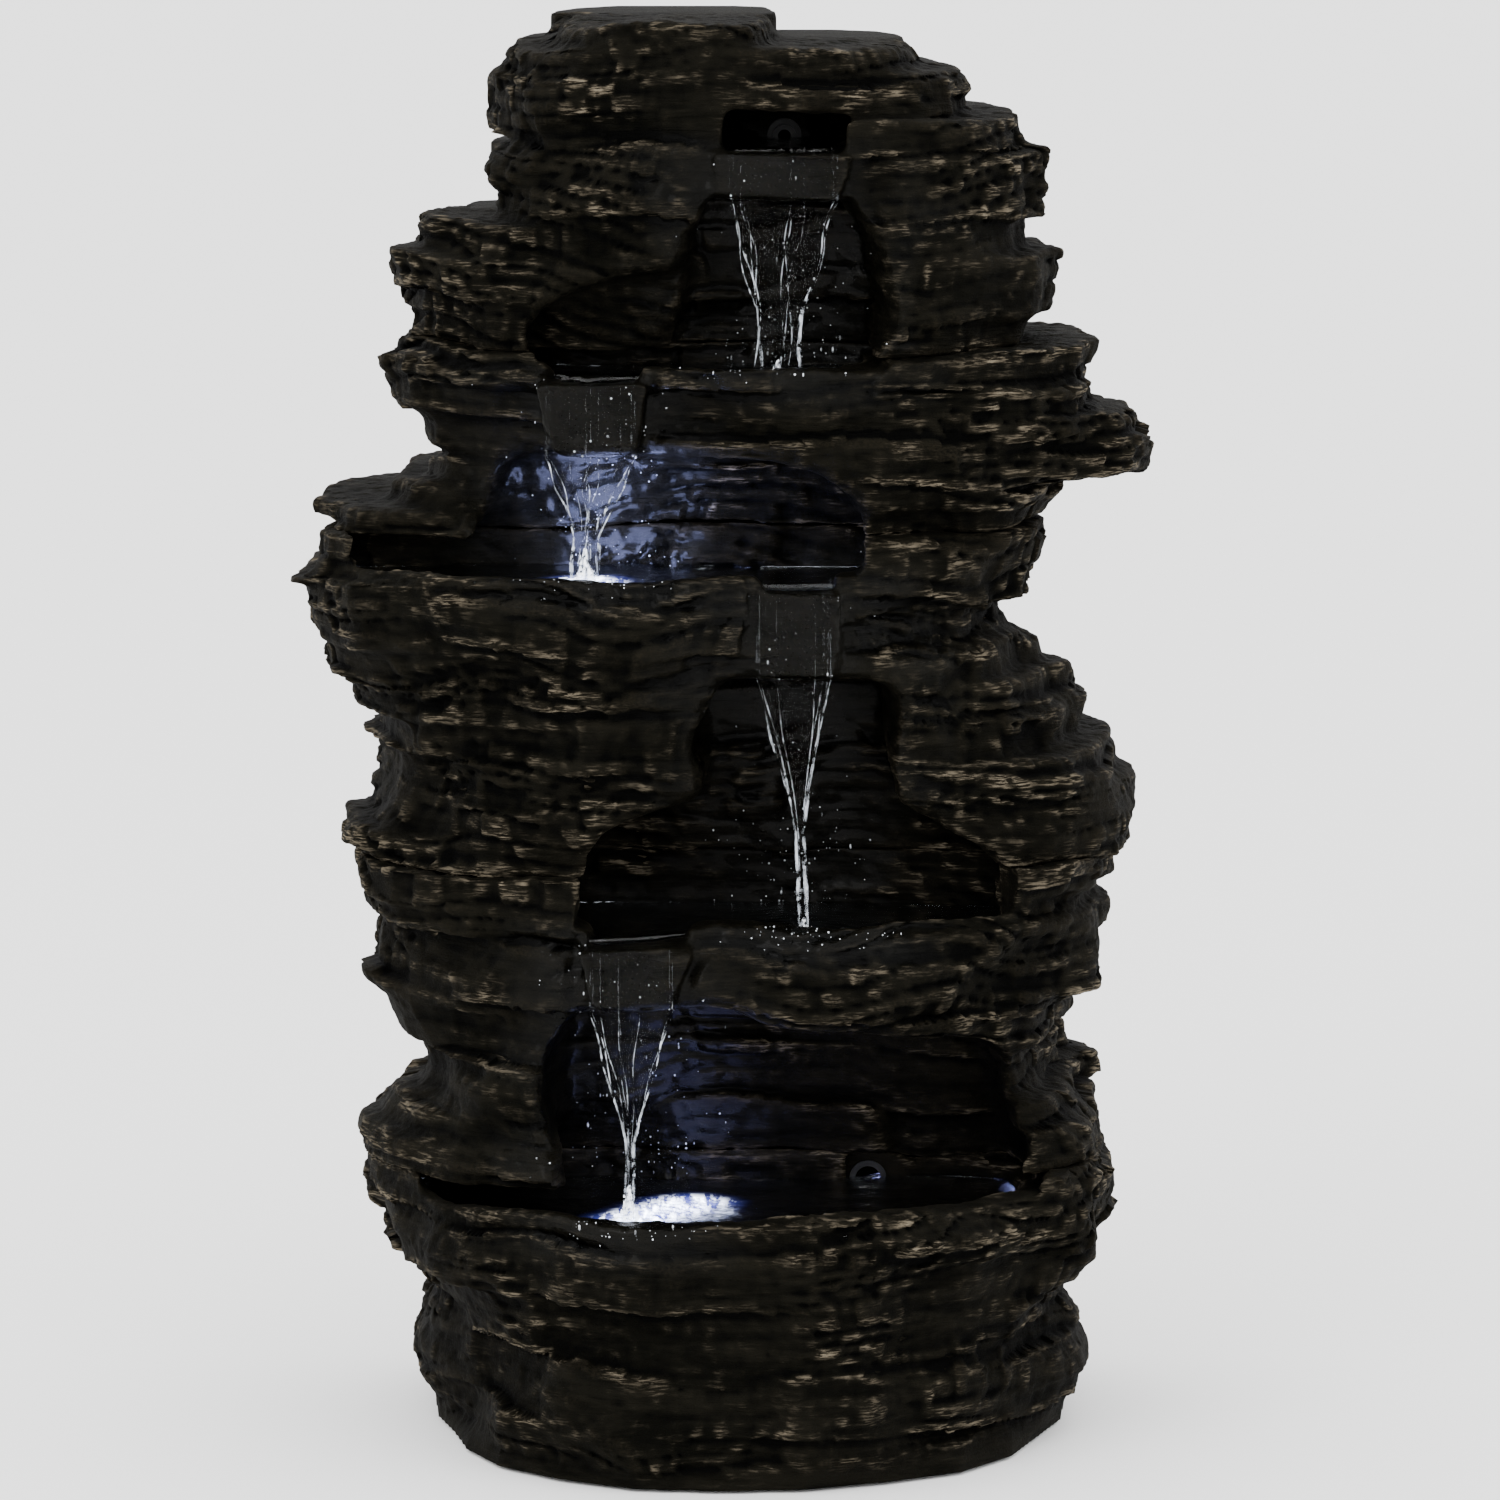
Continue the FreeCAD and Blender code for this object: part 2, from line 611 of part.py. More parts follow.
def casting_leaf(middle):
    """A hinge leaf on the back, whose web carries the middle knuckle."""
    low, high = knuckles(middle)[1]
    plate = box(hinge_axis.x - leaf_width - 2, hinge_axis.x - 1, back_plane, back_plane + leaf_thickness,
                middle - hinge_height / 2, middle + hinge_height / 2)
    web = box(hinge_axis.x - hinge_knuckle_radius, hinge_axis.x - slip_gap, back_plane, hinge_axis.y,
              low, high)
    knuckle = rod(hinge_knuckle_radius, Vector(hinge_axis.x, hinge_axis.y, low),
                  Vector(hinge_axis.x, hinge_axis.y, high))
    holes = [rod(screw_radius + slip_gap, Vector(casting_screw_x, back_plane - 1, middle + side),
                 Vector(casting_screw_x, back_plane + leaf_thickness + 1, middle + side))
             for side in (-screw_spread, screw_spread)]
    return hinge_bore(plate.fuse([web, knuckle]).removeSplitter().cut(holes))


def door_leaf(middle):
    """A hinge leaf on the door's outer face, whose webs carry the two outer knuckles."""
    seat = door_outer + leaf_thickness
    shape = box(-door_half - stand_off, -door_half + leaf_width + 2, door_outer, seat,
                middle - hinge_height / 2, middle + hinge_height / 2)
    for low, high in (knuckles(middle)[0], knuckles(middle)[2]):
        web = box(hinge_axis.x, -door_half - stand_off, hinge_axis.y, seat, low, high)
        knuckle = rod(hinge_knuckle_radius, Vector(hinge_axis.x, hinge_axis.y, low),
                      Vector(hinge_axis.x, hinge_axis.y, high))
        shape = shape.fuse([web, knuckle])
    holes = [rod(screw_radius + slip_gap, Vector(door_screw_x, door_outer - 1, middle + side),
                 Vector(door_screw_x, seat + 1, middle + side)) for side in (-screw_spread, screw_spread)]
    return hinge_bore(shape.removeSplitter().cut(holes))


def hinge_pin(middle):
    """A pin with a head at each end, just clear of the outer knuckles."""
    reach, cap, cap_rim = hinge_height / 2 + stand_off, 1.2, 1
    axis = Vector(hinge_axis.x, hinge_axis.y, middle)
    shape = rod(hinge_pin_radius, upright(axis, -reach), upright(axis, reach))
    caps = [rod(hinge_pin_radius + cap_rim, upright(axis, end * reach), upright(axis, end * (reach + cap)))
            for end in (-1, 1)]
    return shape.fuse(caps).removeSplitter()


def magnet_block(inner, outer):
    """A plate as large as the catch magnet, between two depths."""
    return box(magnet_x - magnet_width / 2, magnet_x + magnet_width / 2, inner, outer,
               door_z - magnet_height / 2, door_z + magnet_height / 2)


# ---------------------------------------------------------------- bushes, plug and feet
def flanged_bush(place, bore, inward, outward, flange):
    """A bush along Y in a hole, with a flange on the outside."""
    start, end = along_y(place, inward), along_y(place, outward)
    body = rod(bore + bush_wall, start, end)
    rim = rod(bore + bush_wall + flange, place, end)
    return body.fuse(rim).removeSplitter().cut(rod(bore, start, end))


def drain_plug():
    """A rubber stopper with a flat head and a ridge to pull it by."""
    seat = along_y(drain_place, drain_flange)
    stem = rod(drain_radius - running_gap, along_y(drain_place, -wall), along_y(seat, 1))
    head_rim, head_depth, ridge_width, ridge_depth = 4, 4, 4, 9
    head = rod(drain_radius + head_rim, seat, along_y(seat, head_depth))
    ridge = box(drain_place.x - ridge_width / 2, drain_place.x + ridge_width / 2, seat.y + head_depth - 1,
                seat.y + head_depth + ridge_depth, drain_place.z - drain_radius,
                drain_place.z + drain_radius)
    return stem.fuse([head, ridge]).removeSplitter()


def foot_pad(place):
    """A round pad with a bevelled tread."""
    bevel = 1
    return cone(foot_radius - bevel, foot_radius, place, upright(place, bevel)).fuse(
        rod(foot_radius, upright(place, bevel), upright(place, foot_thickness))).removeSplitter()


def grommet(hole, lead_radius, through):
    """A rubber grommet along Y, with a flange on each face of its wall."""
    outer, flange, flange_rim = lead_radius + grommet_wall, 1.5, 2
    start, end = along_y(hole, -flange), along_y(hole, through + flange)
    body = rod(outer, start, end)
    flanges = [rod(outer + flange_rim, start, hole), rod(outer + flange_rim, along_y(hole, through), end)]
    return body.fuse(flanges).removeSplitter().cut(rod(lead_radius, start, end))


# ---------------------------------------------------------------- pump
volute_length = 20.0        # from the joint face to the volute's front
volute_flange = 8.0
volute_inset = 2.0          # the volute's body is this much smaller each way than its flange
chamber_radius = impeller_radius + 2
chamber_depth = 15.0
bush_radius = 3.5
bush_length = 5.0
well_depth = rotor_length + 3
cover_length = 40.0         # from the joint face to the cover's front
cover_wall = 2.0
sponge_gap = 4.0            # before and behind the sponge, inside the cover
barb_radius = hose_bore_radius - 0.1
barb_bore = 4.5
barb_x = pump_front - 10    # middle of the volute's top
barb_top = 53.0             # over the rotor's axis
hose_start = 34.0           # the hose's end over the rotor's axis
foot_stem_radius = 3.0
foot_stem_length = 3.0
foot_inset = 10.0           # a foot's middle from the motor block's sides
rotor_gap = 0.4             # from the rotor to its well
slot_pitch = 6.0            # the intake slots
slot_width = 2.4
slot_low, slot_high = 18.0, 2.0     # how far the slots reach under and over the rotor's axis
slot_count = 7
dial_radius = 8.0
dial_thickness = 3.0
dial_pin_radius = 2.0
dial_rise = 14.0            # the flow dial's axis over the rotor's


def pump_at(u, y=0.0, z=0.0):
    """A point of the pump: u along its axis from the joint face, y and z from its axis."""
    return Vector(pump_front + u, pump_y + y, pump_z + z)


def pump_block(u0, u1, half_y, half_z):
    """A box about the pump's axis."""
    return box(pump_front + u0, pump_front + u1, pump_y - half_y, pump_y + half_y, pump_z - half_z,
               pump_z + half_z)


def suction_foot_place(x, y):
    """One of the pump's four feet, where it stands on the sump's floor."""
    middle = pump_front + pump_length / 2
    return Vector(middle + x * (pump_length / 2 - foot_inset), pump_y + y * (pump_width / 2 - foot_inset),
                  floor_top)


def suction_foot(place):
    """A rubber cup with a stem that plugs into the pump's underside."""
    cup_radius, neck_radius = 8, 5
    cup = cone(cup_radius, neck_radius, place, upright(place, pump_foot_height))
    return cup.fuse(rod(foot_stem_radius, place, upright(place, pump_foot_height + foot_stem_length)))


def motor_housing():
    """The sealed motor block, with the rotor's well, the back bush's seat, foot sockets and lead hole."""
    shape = pump_block(0, pump_length, pump_width / 2, pump_height / 2)
    far_edges = [e for e in shape.Edges if e.BoundBox.XMax > pump_front + 1]
    edge_radius, lead_depth = 4, 6
    shape = shape.makeFillet(edge_radius, far_edges)
    well = rod(rotor_radius + rotor_gap, pump_at(-1), pump_at(well_depth))
    seat = rod(bush_radius + slip_gap, pump_at(well_depth - 1), pump_at(well_depth + bush_length))
    lead = rod(pump_lead_radius + slip_gap, pump_at(pump_length - lead_depth), pump_at(pump_length + 1))
    sockets = [rod(foot_stem_radius + slip_gap, upright(foot, pump_foot_height - 1),
                   upright(foot, pump_foot_height + foot_stem_length + 1))
               for foot in (suction_foot_place(x, y) for x in (-1, 1) for y in (-1, 1))]
    return shape.cut([well, seat, lead] + sockets)


def volute():
    """The pump's front: a chamber round the impeller, an inlet ring, a bush seat and a hose barb."""
    body = pump_block(-volute_length, -volute_flange + 1, pump_width / 2 - volute_inset,
                      pump_height / 2 - volute_inset - 2)
    flange = pump_block(-volute_flange, 0, pump_width / 2, pump_height / 2)
    foot, top = pump_at(barb_x - pump_front, z=12), pump_at(barb_x - pump_front, z=barb_top)
    barb = rod(barb_radius, foot, top)
    shape = body.fuse([flange, barb])
    chamber = rod(chamber_radius, pump_at(-chamber_depth), pump_at(1))
    bore = rod(barb_bore, foot, top)
    seat = rod(bush_radius + slip_gap, pump_at(-volute_length - 1), pump_at(-chamber_depth + 1))
    inlets = []
    inlet_count, inlet_ring, inlet_radius = 6, 9, 2.5
    for k in range(inlet_count):
        angle = 2 * math.pi * k / inlet_count
        y, z = inlet_ring * math.cos(angle), inlet_ring * math.sin(angle)
        inlets.append(rod(inlet_radius, pump_at(-volute_length - 1, y, z), pump_at(-chamber_depth + 1, y, z)))
    return shape.removeSplitter().cut([chamber, bore, seat] + inlets)


def impeller():
    """The rotor magnet, its hub, a disc and six straight vanes, bored for the shaft."""
    magnet_start, disc_back, disc_front, vane_front, hub_radius = 2, -1, -4, -14, 4
    magnet = rod(rotor_radius, pump_at(magnet_start), pump_at(magnet_start + rotor_length))
    hub = rod(hub_radius, pump_at(vane_front), pump_at(magnet_start))
    disc = rod(impeller_radius, pump_at(disc_front), pump_at(disc_back))
    vanes = []
    vane_count, vane_thickness = 6, 1.6
    for k in range(vane_count):
        vane = box(pump_front + vane_front, pump_front + disc_front, pump_y - vane_thickness / 2,
                   pump_y + vane_thickness / 2, pump_z + hub_radius / 2, pump_z + impeller_radius - 1)
        vane.rotate(pump_at(0), Vector(1, 0, 0), 360 * k / vane_count)
        vanes.append(vane)
    shape = magnet.fuse([hub, disc] + vanes).removeSplitter()
    return shape.cut(rod(shaft_radius + running_gap, pump_at(vane_front - 1),
                         pump_at(magnet_start + rotor_length + 1)))


def shaft_bush(u):
    """A sleeve that holds one end of the shaft."""
    return tube(bush_radius, shaft_radius, pump_at(u), pump_at(u + bush_length - 0.5))


def intake_cover():
    """A cage over the volute: slotted at its front, notched for the barb, holed for the flow dial."""
    half_y = pump_width / 2 - volute_inset + stand_off
    half_z = pump_height / 2 - volute_inset - 2 + stand_off
    end = -volute_flange - stand_off
    shape = pump_block(-cover_length, end, half_y + cover_wall, half_z + cover_wall)
    shape = shape.cut(pump_block(-cover_length + cover_wall, end + 1, half_y, half_z))
    notch = box(barb_x - barb_radius - stand_off, pump_front, pump_y - barb_radius - stand_off,
                pump_y + barb_radius + stand_off, pump_z, pump_z + 2 * half_z)
    slots = [box(pump_front - cover_length - 1, pump_front - cover_length + cover_wall + 1,
                 pump_y + slot_pitch * k - slot_width / 2, pump_y + slot_pitch * k + slot_width / 2,
                 pump_z - slot_low, pump_z + slot_high)
             for k in range(-(slot_count // 2), slot_count // 2 + 1)]
    pin = rod(dial_pin_radius + running_gap, pump_at(-cover_length - 1, z=dial_rise),
              pump_at(-cover_length + cover_wall + 1, z=dial_rise))
    return shape.cut([notch, pin] + slots)


def flow_dial():
    """The dial on the cover's front: a disc with a finger ridge, on a pin through the cover."""
    face = -cover_length - stand_off
    disc = rod(dial_radius, pump_at(face - dial_thickness, z=dial_rise), pump_at(face, z=dial_rise))
    pin = rod(dial_pin_radius, pump_at(face - 1, z=dial_rise),
              pump_at(-cover_length + cover_wall, z=dial_rise))
    ridge_width, ridge_depth = 2.4, 2
    ridge = box(pump_front + face - dial_thickness - ridge_depth, pump_front + face - 1,
                pump_y - ridge_width / 2, pump_y + ridge_width / 2,
                pump_z + dial_rise - dial_radius + 1, pump_z + dial_rise + dial_radius - 1)
    return disc.fuse([pin, ridge]).removeSplitter()


def lead_boot():
    """A tapered rubber boot where the lead leaves the motor."""
    back, root_radius, tip_radius, length = pump_length, 7, 4.5, 14
    boot = cone(root_radius, tip_radius, pump_at(back), pump_at(back + length))
    return boot.cut(rod(pump_lead_radius, pump_at(back - 1), pump_at(back + length + 1)))


# ---------------------------------------------------------------- hose and its fittings
clamp_height = 8.0
spout_radius = 8.0
spout_flange_radius = 12.0
spout_back = spout_place.y + wall   # face of the basin's rear wall inside the crown
locknut_length = 5.0
locknut_across = 22.0
spout_barb_start = spout_back + 10
spout_barb_end = spout_barb_start + 19
washer_thickness = 1.5


def hose_route():
    """The hose from the pump's barb, up the back, to the spout in the crown."""
    bottom = Vector(barb_x, pump_y, pump_z + hose_start)
    corner = 35             # the bend to the spout is two half turns this far from its corner
    return [bottom, upright(bottom, 88), Vector(hose_x, hose_y, at_z(300)),
            Vector(hose_x, hose_y, spout_place.z - corner),
            Vector(hose_x, hose_y - corner, spout_place.z),
            Vector(hose_x, spout_barb_start + 1, spout_place.z)]


def hose_clamp(start, end):
    """A band round the hose, with the ears of its screw."""
    thickness, width, reach = 1.2, 7, 6
    band = tube(hose_outer + thickness, hose_outer + press_gap, start, end)
    axis = end - start
    ear = box(-width / 2, width / 2, hose_outer + thickness / 2, hose_outer + reach, 0, axis.Length)
    turn = FreeCAD.Rotation(Vector(0, 0, 1), axis)
    ear.Placement = FreeCAD.Placement(start, turn)
    return band.fuse(ear).removeSplitter()


def hose_clip(height):
    """A ring round the hose on a short arm from the back."""
    half_height, thickness, arm = 6, 2.5, 4
    low, high = Vector(hose_x, hose_y, height - half_height), Vector(hose_x, hose_y, height + half_height)
    outer = hose_outer + thickness
    shape = rod(outer, low, high).fuse(box(hose_x - arm, hose_x + arm, hose_y, inner_back, low.z, high.z))
    return shape.removeSplitter().cut(rod(hose_outer + press_gap, low, high))


def hexagon(across, start, end):
    """A hexagonal bar along Y."""
    corner = across / math.sqrt(3)
    points = [Vector(start.x + corner * math.cos(math.pi * k / 3), start.y,
                     start.z + corner * math.sin(math.pi * k / 3)) for k in range(6)]
    return Part.Face(polygon(points)).extrude(end - start)


def spout_fitting():
    """A bulkhead fitting: a flange in the basin, a threaded neck through the wall, a barb for the hose."""
    flange, nozzle = 2, 8
    seat = along_y(spout_place, -washer_thickness)
    front = along_y(seat, -flange)
    neck_end = Vector(spout_place.x, spout_barb_start, spout_place.z)
    barb_end = Vector(spout_place.x, spout_barb_end, spout_place.z)
    shape = rod(spout_radius, along_y(seat, -nozzle), neck_end).fuse(
        [rod(spout_flange_radius, front, seat), rod(barb_radius, along_y(neck_end, -1), barb_end)])
    return shape.removeSplitter().cut(rod(barb_bore, along_y(seat, -nozzle - 1), along_y(barb_end, 1)))


# ---------------------------------------------------------------- submerged lights
board_radius = 19.0
board_thickness = 1.6
housing_floor = 4.0
lens_seat = 12.0            # underside of the lens flange over the housing's underside
lens_radius = 18.0
lens_rise = 4.0
bezel_thickness = 2.0
light_screw_radius = 1.2
lens_ledge = 1.4            # the lens flange is this much wider than the board
light_screw_ring = (light_radius + board_radius + lens_ledge) / 2
light_screw_length = 6.0
light_screw_count = 3
stem_start = 18.0           # a lead's inner end, from its light's middle


def light_screw_places(place, rise):
    """The three bezel screws, at a height over a light's underside."""
    angles = [math.pi / 2 + 2 * math.pi * (k + 0.5) / light_screw_count for k in range(light_screw_count)]
    return [place + Vector(light_screw_ring * math.cos(a), light_screw_ring * math.sin(a), rise)
            for a in angles]


def light_housing(place):
    """A round pan, stepped for the board and the lens, with screw holes and a lead hole at its back."""
    shape = rod(light_radius, place, upright(place, light_height))
    lead_start = place + Vector(0, board_radius - 4, lead_rise)
    boss_end = place + Vector(0, light_radius + 5, lead_rise)
    shape = shape.fuse(rod(light_lead_radius + 3, along_y(lead_start, 6), boss_end)).removeSplitter()
    pans = [rod(board_radius + slip_gap, upright(place, housing_floor), upright(place, light_height)),
            rod(board_radius + lens_ledge, upright(place, lens_seat), upright(place, light_height + 1))]
    lead = rod(light_lead_radius + press_gap, lead_start, along_y(boss_end, 1))
    holes = [rod(light_screw_radius + running_gap, upright(top, 1), upright(top, -light_screw_length - 1))
             for top in light_screw_places(place, light_height)]
    return shape.cut(pans + [lead] + holes)


def light_board(place):
    """A round circuit board on the housing's floor."""
    return rod(board_radius, upright(place, housing_floor), upright(place, housing_floor + board_thickness))


def light_leds(place):
    """Square light-emitting chips in a ring on the board."""
    side, height, ring = 4, 1.4, 11
    low = place.z + housing_floor + board_thickness
    chips = []
    for k in range(led_count):
        angle = 2 * math.pi * k / led_count
        x, y = place.x + ring * math.cos(angle), place.y + ring * math.sin(angle)
        chips.append(box(x - side / 2, x + side / 2, y - side / 2, y + side / 2, low, low + height))
    return Part.makeCompound(chips)


def light_lens(place):
    """A flanged lens whose top is a low dome."""
    top = upright(place, light_height)
    flange = rod(board_radius + lens_ledge - slip_gap, upright(place, lens_seat), top)
    sphere_radius = (lens_radius ** 2 + lens_rise ** 2) / (2 * lens_rise)
    ball = Part.makeSphere(sphere_radius, upright(top, lens_rise - sphere_radius))
    dome = ball.common(rod(lens_radius + 1, top, upright(top, 2 * lens_rise)))
    return flange.fuse(dome).removeSplitter()


def light_bezel(place):
    """A metal ring that holds the lens down."""
    low, high = upright(place, light_height), upright(place, light_height + bezel_thickness)
    shape = tube(light_radius, lens_radius + stand_off, low, high)
    return shape.cut([rod(light_screw_radius + slip_gap, upright(hole, -1),
                          upright(hole, bezel_thickness + 1))
                      for hole in light_screw_places(place, light_height)])


def light_screws(place):
    """The bezel's three pan-head screws."""
    pieces = []
    head_radius, head_height = 2.2, 1.2
    for head in light_screw_places(place, light_height + bezel_thickness):
        shank = rod(light_screw_radius, upright(head, -bezel_thickness - light_screw_length), head)
        pieces.append(shank.fuse(rod(head_radius, head, upright(head, head_height))).removeSplitter())
    return Part.makeCompound(pieces)


# ---------------------------------------------------------------- wiring
gland_radius = 8.0
box_wall = 2.5
junction_right = junction_left + 58
junction_low, junction_high = gland_place.z - 27, gland_place.z + 28
junction_front = inner_back - 36
lid_thickness = 3.5
lid_screw_radius = 1.4
lead_end = 10.0             # how far a lead runs into the junction box
pump_lead_x = junction_left + 26
pool_lead_x = junction_left + 12
tier_lead_x = junction_left + 19
box_lead_y = inner_back - 22


def pool_lead_route():
    """From the pool light, through the partition, up the right of the sump to the junction box."""
    start = pool_light_place + Vector(0, stem_start, lead_rise)
    end = Vector(pool_lead_x, box_lead_y, junction_low + box_wall + lead_end)
    return [start, Vector(start.x, at_y(60), start.z), Vector(at_x(60), at_y(120), at_z(165)),
            Vector(pool_lead_x, box_lead_y, at_z(200)), end]


def tier_lead_route():
    """From the tier light, through the wall behind its pool, down to the junction box's top."""
    start = tier_light_place + Vector(0, stem_start, lead_rise)
    end = Vector(tier_lead_x, box_lead_y, junction_high - box_wall - lead_end)
    return [start, Vector(start.x, at_y(60), start.z), Vector(at_x(-50), at_y(140), at_z(520)),
            Vector(at_x(10), at_y(148), at_z(420)), Vector(tier_lead_x, box_lead_y, at_z(345)), end]


def pump_lead_route():
    """From the pump's boot, along the sump's right, up to the junction box."""
    start = pump_at(pump_length - 4)
    end = Vector(pump_lead_x, box_lead_y, junction_low + box_wall + lead_end)
    return [start, start + Vector(46, 0, 0), Vector(at_x(118), at_y(125), at_z(85)),
            Vector(pump_lead_x, box_lead_y, at_z(140)), end]


def lid_screw_places(y):
    """The four screws at the junction box's corners."""
    inset = 6
    return [Vector(x, y, z) for x in (junction_left + inset, junction_right - inset)
            for z in (junction_low + inset, junction_high - inset)]


def junction_box():
    """An open-fronted box on the inside of the back, with screw posts, lead holes and a gland hole."""
    shape = box(junction_left, junction_right, junction_front, inner_back, junction_low, junction_high)
    shape = shape.cut(box(junction_left + box_wall, junction_right - box_wall, junction_front - 1,
                          inner_back - box_wall, junction_low + box_wall, junction_high - box_wall))
    post_radius, pilot_depth = 3.6, 12
    posts = [rod(post_radius, place, along_y(place, inner_back - junction_front - box_wall / 2))
             for place in lid_screw_places(junction_front)]
    shape = shape.fuse(posts).removeSplitter()
    pilots = [rod(lid_screw_radius + running_gap, along_y(place, -1),
                  along_y(place, pilot_depth)) for place in lid_screw_places(junction_front)]
    leads = []
    for x, radius, z in ((pump_lead_x, pump_lead_radius, junction_low),
                         (pool_lead_x, light_lead_radius, junction_low),
                         (tier_lead_x, light_lead_radius, junction_high)):
        leads.append(rod(radius + running_gap, Vector(x, box_lead_y, z - box_wall - 1),
                         Vector(x, box_lead_y, z + box_wall + 1)))
    gland = rod(gland_radius + slip_gap, along_y(gland_place, -wall - box_wall - 1), gland_place)
    return shape.cut(pilots + leads + [gland])


def junction_lid():
    """The box's flat lid, with a raised rim and screw holes."""
    shape = box(junction_left, junction_right, junction_front - lid_thickness, junction_front,
                junction_low, junction_high)
    shape = shape.makeFillet(1.5, [e for e in shape.Edges if e.BoundBox.YMax < junction_front - 1])
    return shape.cut([rod(lid_screw_radius + slip_gap, along_y(place, -lid_thickness - 1), along_y(place, 1))
                      for place in lid_screw_places(junction_front)])


def lid_screws():
    """The lid's four pan-head screws."""
    pieces = []
    thread, head_radius, head_height = 9, 2.8, 1.6
    for head in lid_screw_places(junction_front - lid_thickness):
        pieces.append(rod(lid_screw_radius, head, along_y(head, lid_thickness + thread)).fuse(
            rod(head_radius, along_y(head, -head_height), head)).removeSplitter())
    return Part.makeCompound(pieces)


def terminal_block():
    """A row of screw terminals on the box's rear wall, as a stepped block."""
    left, right = junction_left + 6, junction_left + 25
    middle, back = gland_place.z + 2, inner_back - box_wall
    base = box(left, right, back - 5, back, middle - 8, middle + 8)
    return base.fuse(box(left, right, back - 11, back - 4, middle - 4, middle + 4)).removeSplitter()


def cord_gland():
    """The gland's body: threaded through the back, with a hexagonal flange outside and a nut inside."""
    inner = along_y(gland_place, -wall - box_wall - 7)
    nut_face = along_y(gland_place, -wall - box_wall)
    flange = along_y(gland_place, 3)
    shape = rod(gland_radius, inner, flange).fuse(
        [hexagon(20, gland_place, flange), hexagon(20, along_y(nut_face, -5), nut_face),
         rod(gland_radius - 1, flange, along_y(flange, 6))])
    return shape.removeSplitter().cut(rod(gland_bore_radius, inner, along_y(flange, 7)))


def gland_nut():
    """The gland's outer nut, which squeezes its seal on a cord."""
    start = along_y(gland_place, 3 + stand_off)
    end = along_y(start, 13)
    body = rod(10, start, along_y(start, 9)).fuse(cone(10, 7, along_y(start, 9), end))
    return body.removeSplitter().cut([rod(gland_radius - 1 + slip_gap, along_y(start, -1), along_y(start, 7)),
                                      rod(gland_bore_radius, start, along_y(end, 1))])


# ---------------------------------------------------------------- the whole fountain
fitted = {"base_tub": base_tub, "lower_tier": lower_tier, "middle_tier": middle_tier, "crown": crown}
strata = all_strata()
nodes = {}
for index, casting in enumerate(castings):
    shape = with_dowels(rock(index, strata), index)
    nodes[casting.name] = fitted[casting.name](shape) if casting.name in fitted else shape

nodes["tier_dowels"] = Part.makeCompound([
    rod(dowel_radius, upright(place, -dowel_length / 2), upright(place, dowel_length / 2))
    for seam in range(1, len(castings)) for place in dowel_places(seam)])
nodes["foot_pads"] = Part.makeCompound([foot_pad(place) for place in foot_places()])
nodes["return_port_bush"] = tube(port_radius + bush_wall, port_radius, port_place,
                                 along_y(port_place, wall + 1)).fuse(
    tube(port_radius + bush_wall + 2, port_radius, along_y(port_place, -1.5), port_place)).removeSplitter()

nodes["access_door"] = access_door()
nodes["door_gasket"] = door_gasket()
nodes["casting_hinge_leaves"] = Part.makeCompound([casting_leaf(z) for z in hinge_places])
nodes["door_hinge_leaves"] = Part.makeCompound([door_leaf(z) for z in hinge_places])
nodes["door_hinge_pins"] = Part.makeCompound([hinge_pin(z) for z in hinge_places])
nodes["casting_hinge_screws"] = screws(casting_screw_x, back_plane + leaf_thickness)
nodes["door_hinge_screws"] = screws(door_screw_x, door_outer + leaf_thickness)
nodes["door_magnet"] = magnet_block(back_plane - magnet_depth, door_inner - stand_off)
nodes["door_strike_plate"] = magnet_block(door_inner, door_inner + strike_thickness)
nodes["drain_bush"] = flanged_bush(drain_place, drain_radius, -wall - 2, drain_flange, 5)
nodes["drain_plug"] = drain_plug()

nodes["pump_motor_housing"] = motor_housing()
nodes["pump_volute"] = volute()
nodes["pump_impeller"] = impeller()
nodes["impeller_shaft"] = rod(shaft_radius, pump_at(-volute_length + 1),
                              pump_at(well_depth + bush_length - 1))
nodes["shaft_bushes"] = Part.makeCompound([shaft_bush(-volute_length), shaft_bush(well_depth + 0.2)])
nodes["pump_intake_cover"] = intake_cover()
nodes["pump_flow_dial"] = flow_dial()
nodes["intake_sponge"] = pump_block(-cover_length + sponge_gap, -volute_length - sponge_gap,
                                    pump_width / 2 - 2 * volute_inset, pump_height / 2 - 3 * volute_inset)
nodes["pump_suction_feet"] = Part.makeCompound(
    [suction_foot(suction_foot_place(x, y)) for x in (-1, 1) for y in (-1, 1)])
nodes["pump_lead_boot"] = lead_boot()

points = hose_route()
outer_hose, hose_length, hose_radii = swept(hose_outer, points)
nodes["supply_hose"] = outer_hose.cut(swept(hose_bore_radius, points)[0])
clamp_low = upright(points[0], 6)
clamp_high = along_y(points[-1], 6)
nodes["hose_clamps"] = Part.makeCompound([
    hose_clamp(clamp_low, upright(clamp_low, clamp_height)),
    hose_clamp(clamp_high, along_y(clamp_high, clamp_height))])
nodes["hose_clips"] = Part.makeCompound([hose_clip(at_z(z)) for z in (395, 560, 720)])
nodes["spout_fitting"] = spout_fitting()
nodes["spout_washer"] = tube(spout_flange_radius, spout_radius, along_y(spout_place, -washer_thickness),
                             spout_place)
locknut_face = Vector(spout_place.x, spout_back, spout_place.z)
nodes["spout_locknut"] = hexagon(locknut_across, locknut_face, along_y(locknut_face, locknut_length)).cut(
    rod(spout_radius, locknut_face, along_y(locknut_face, locknut_length)))

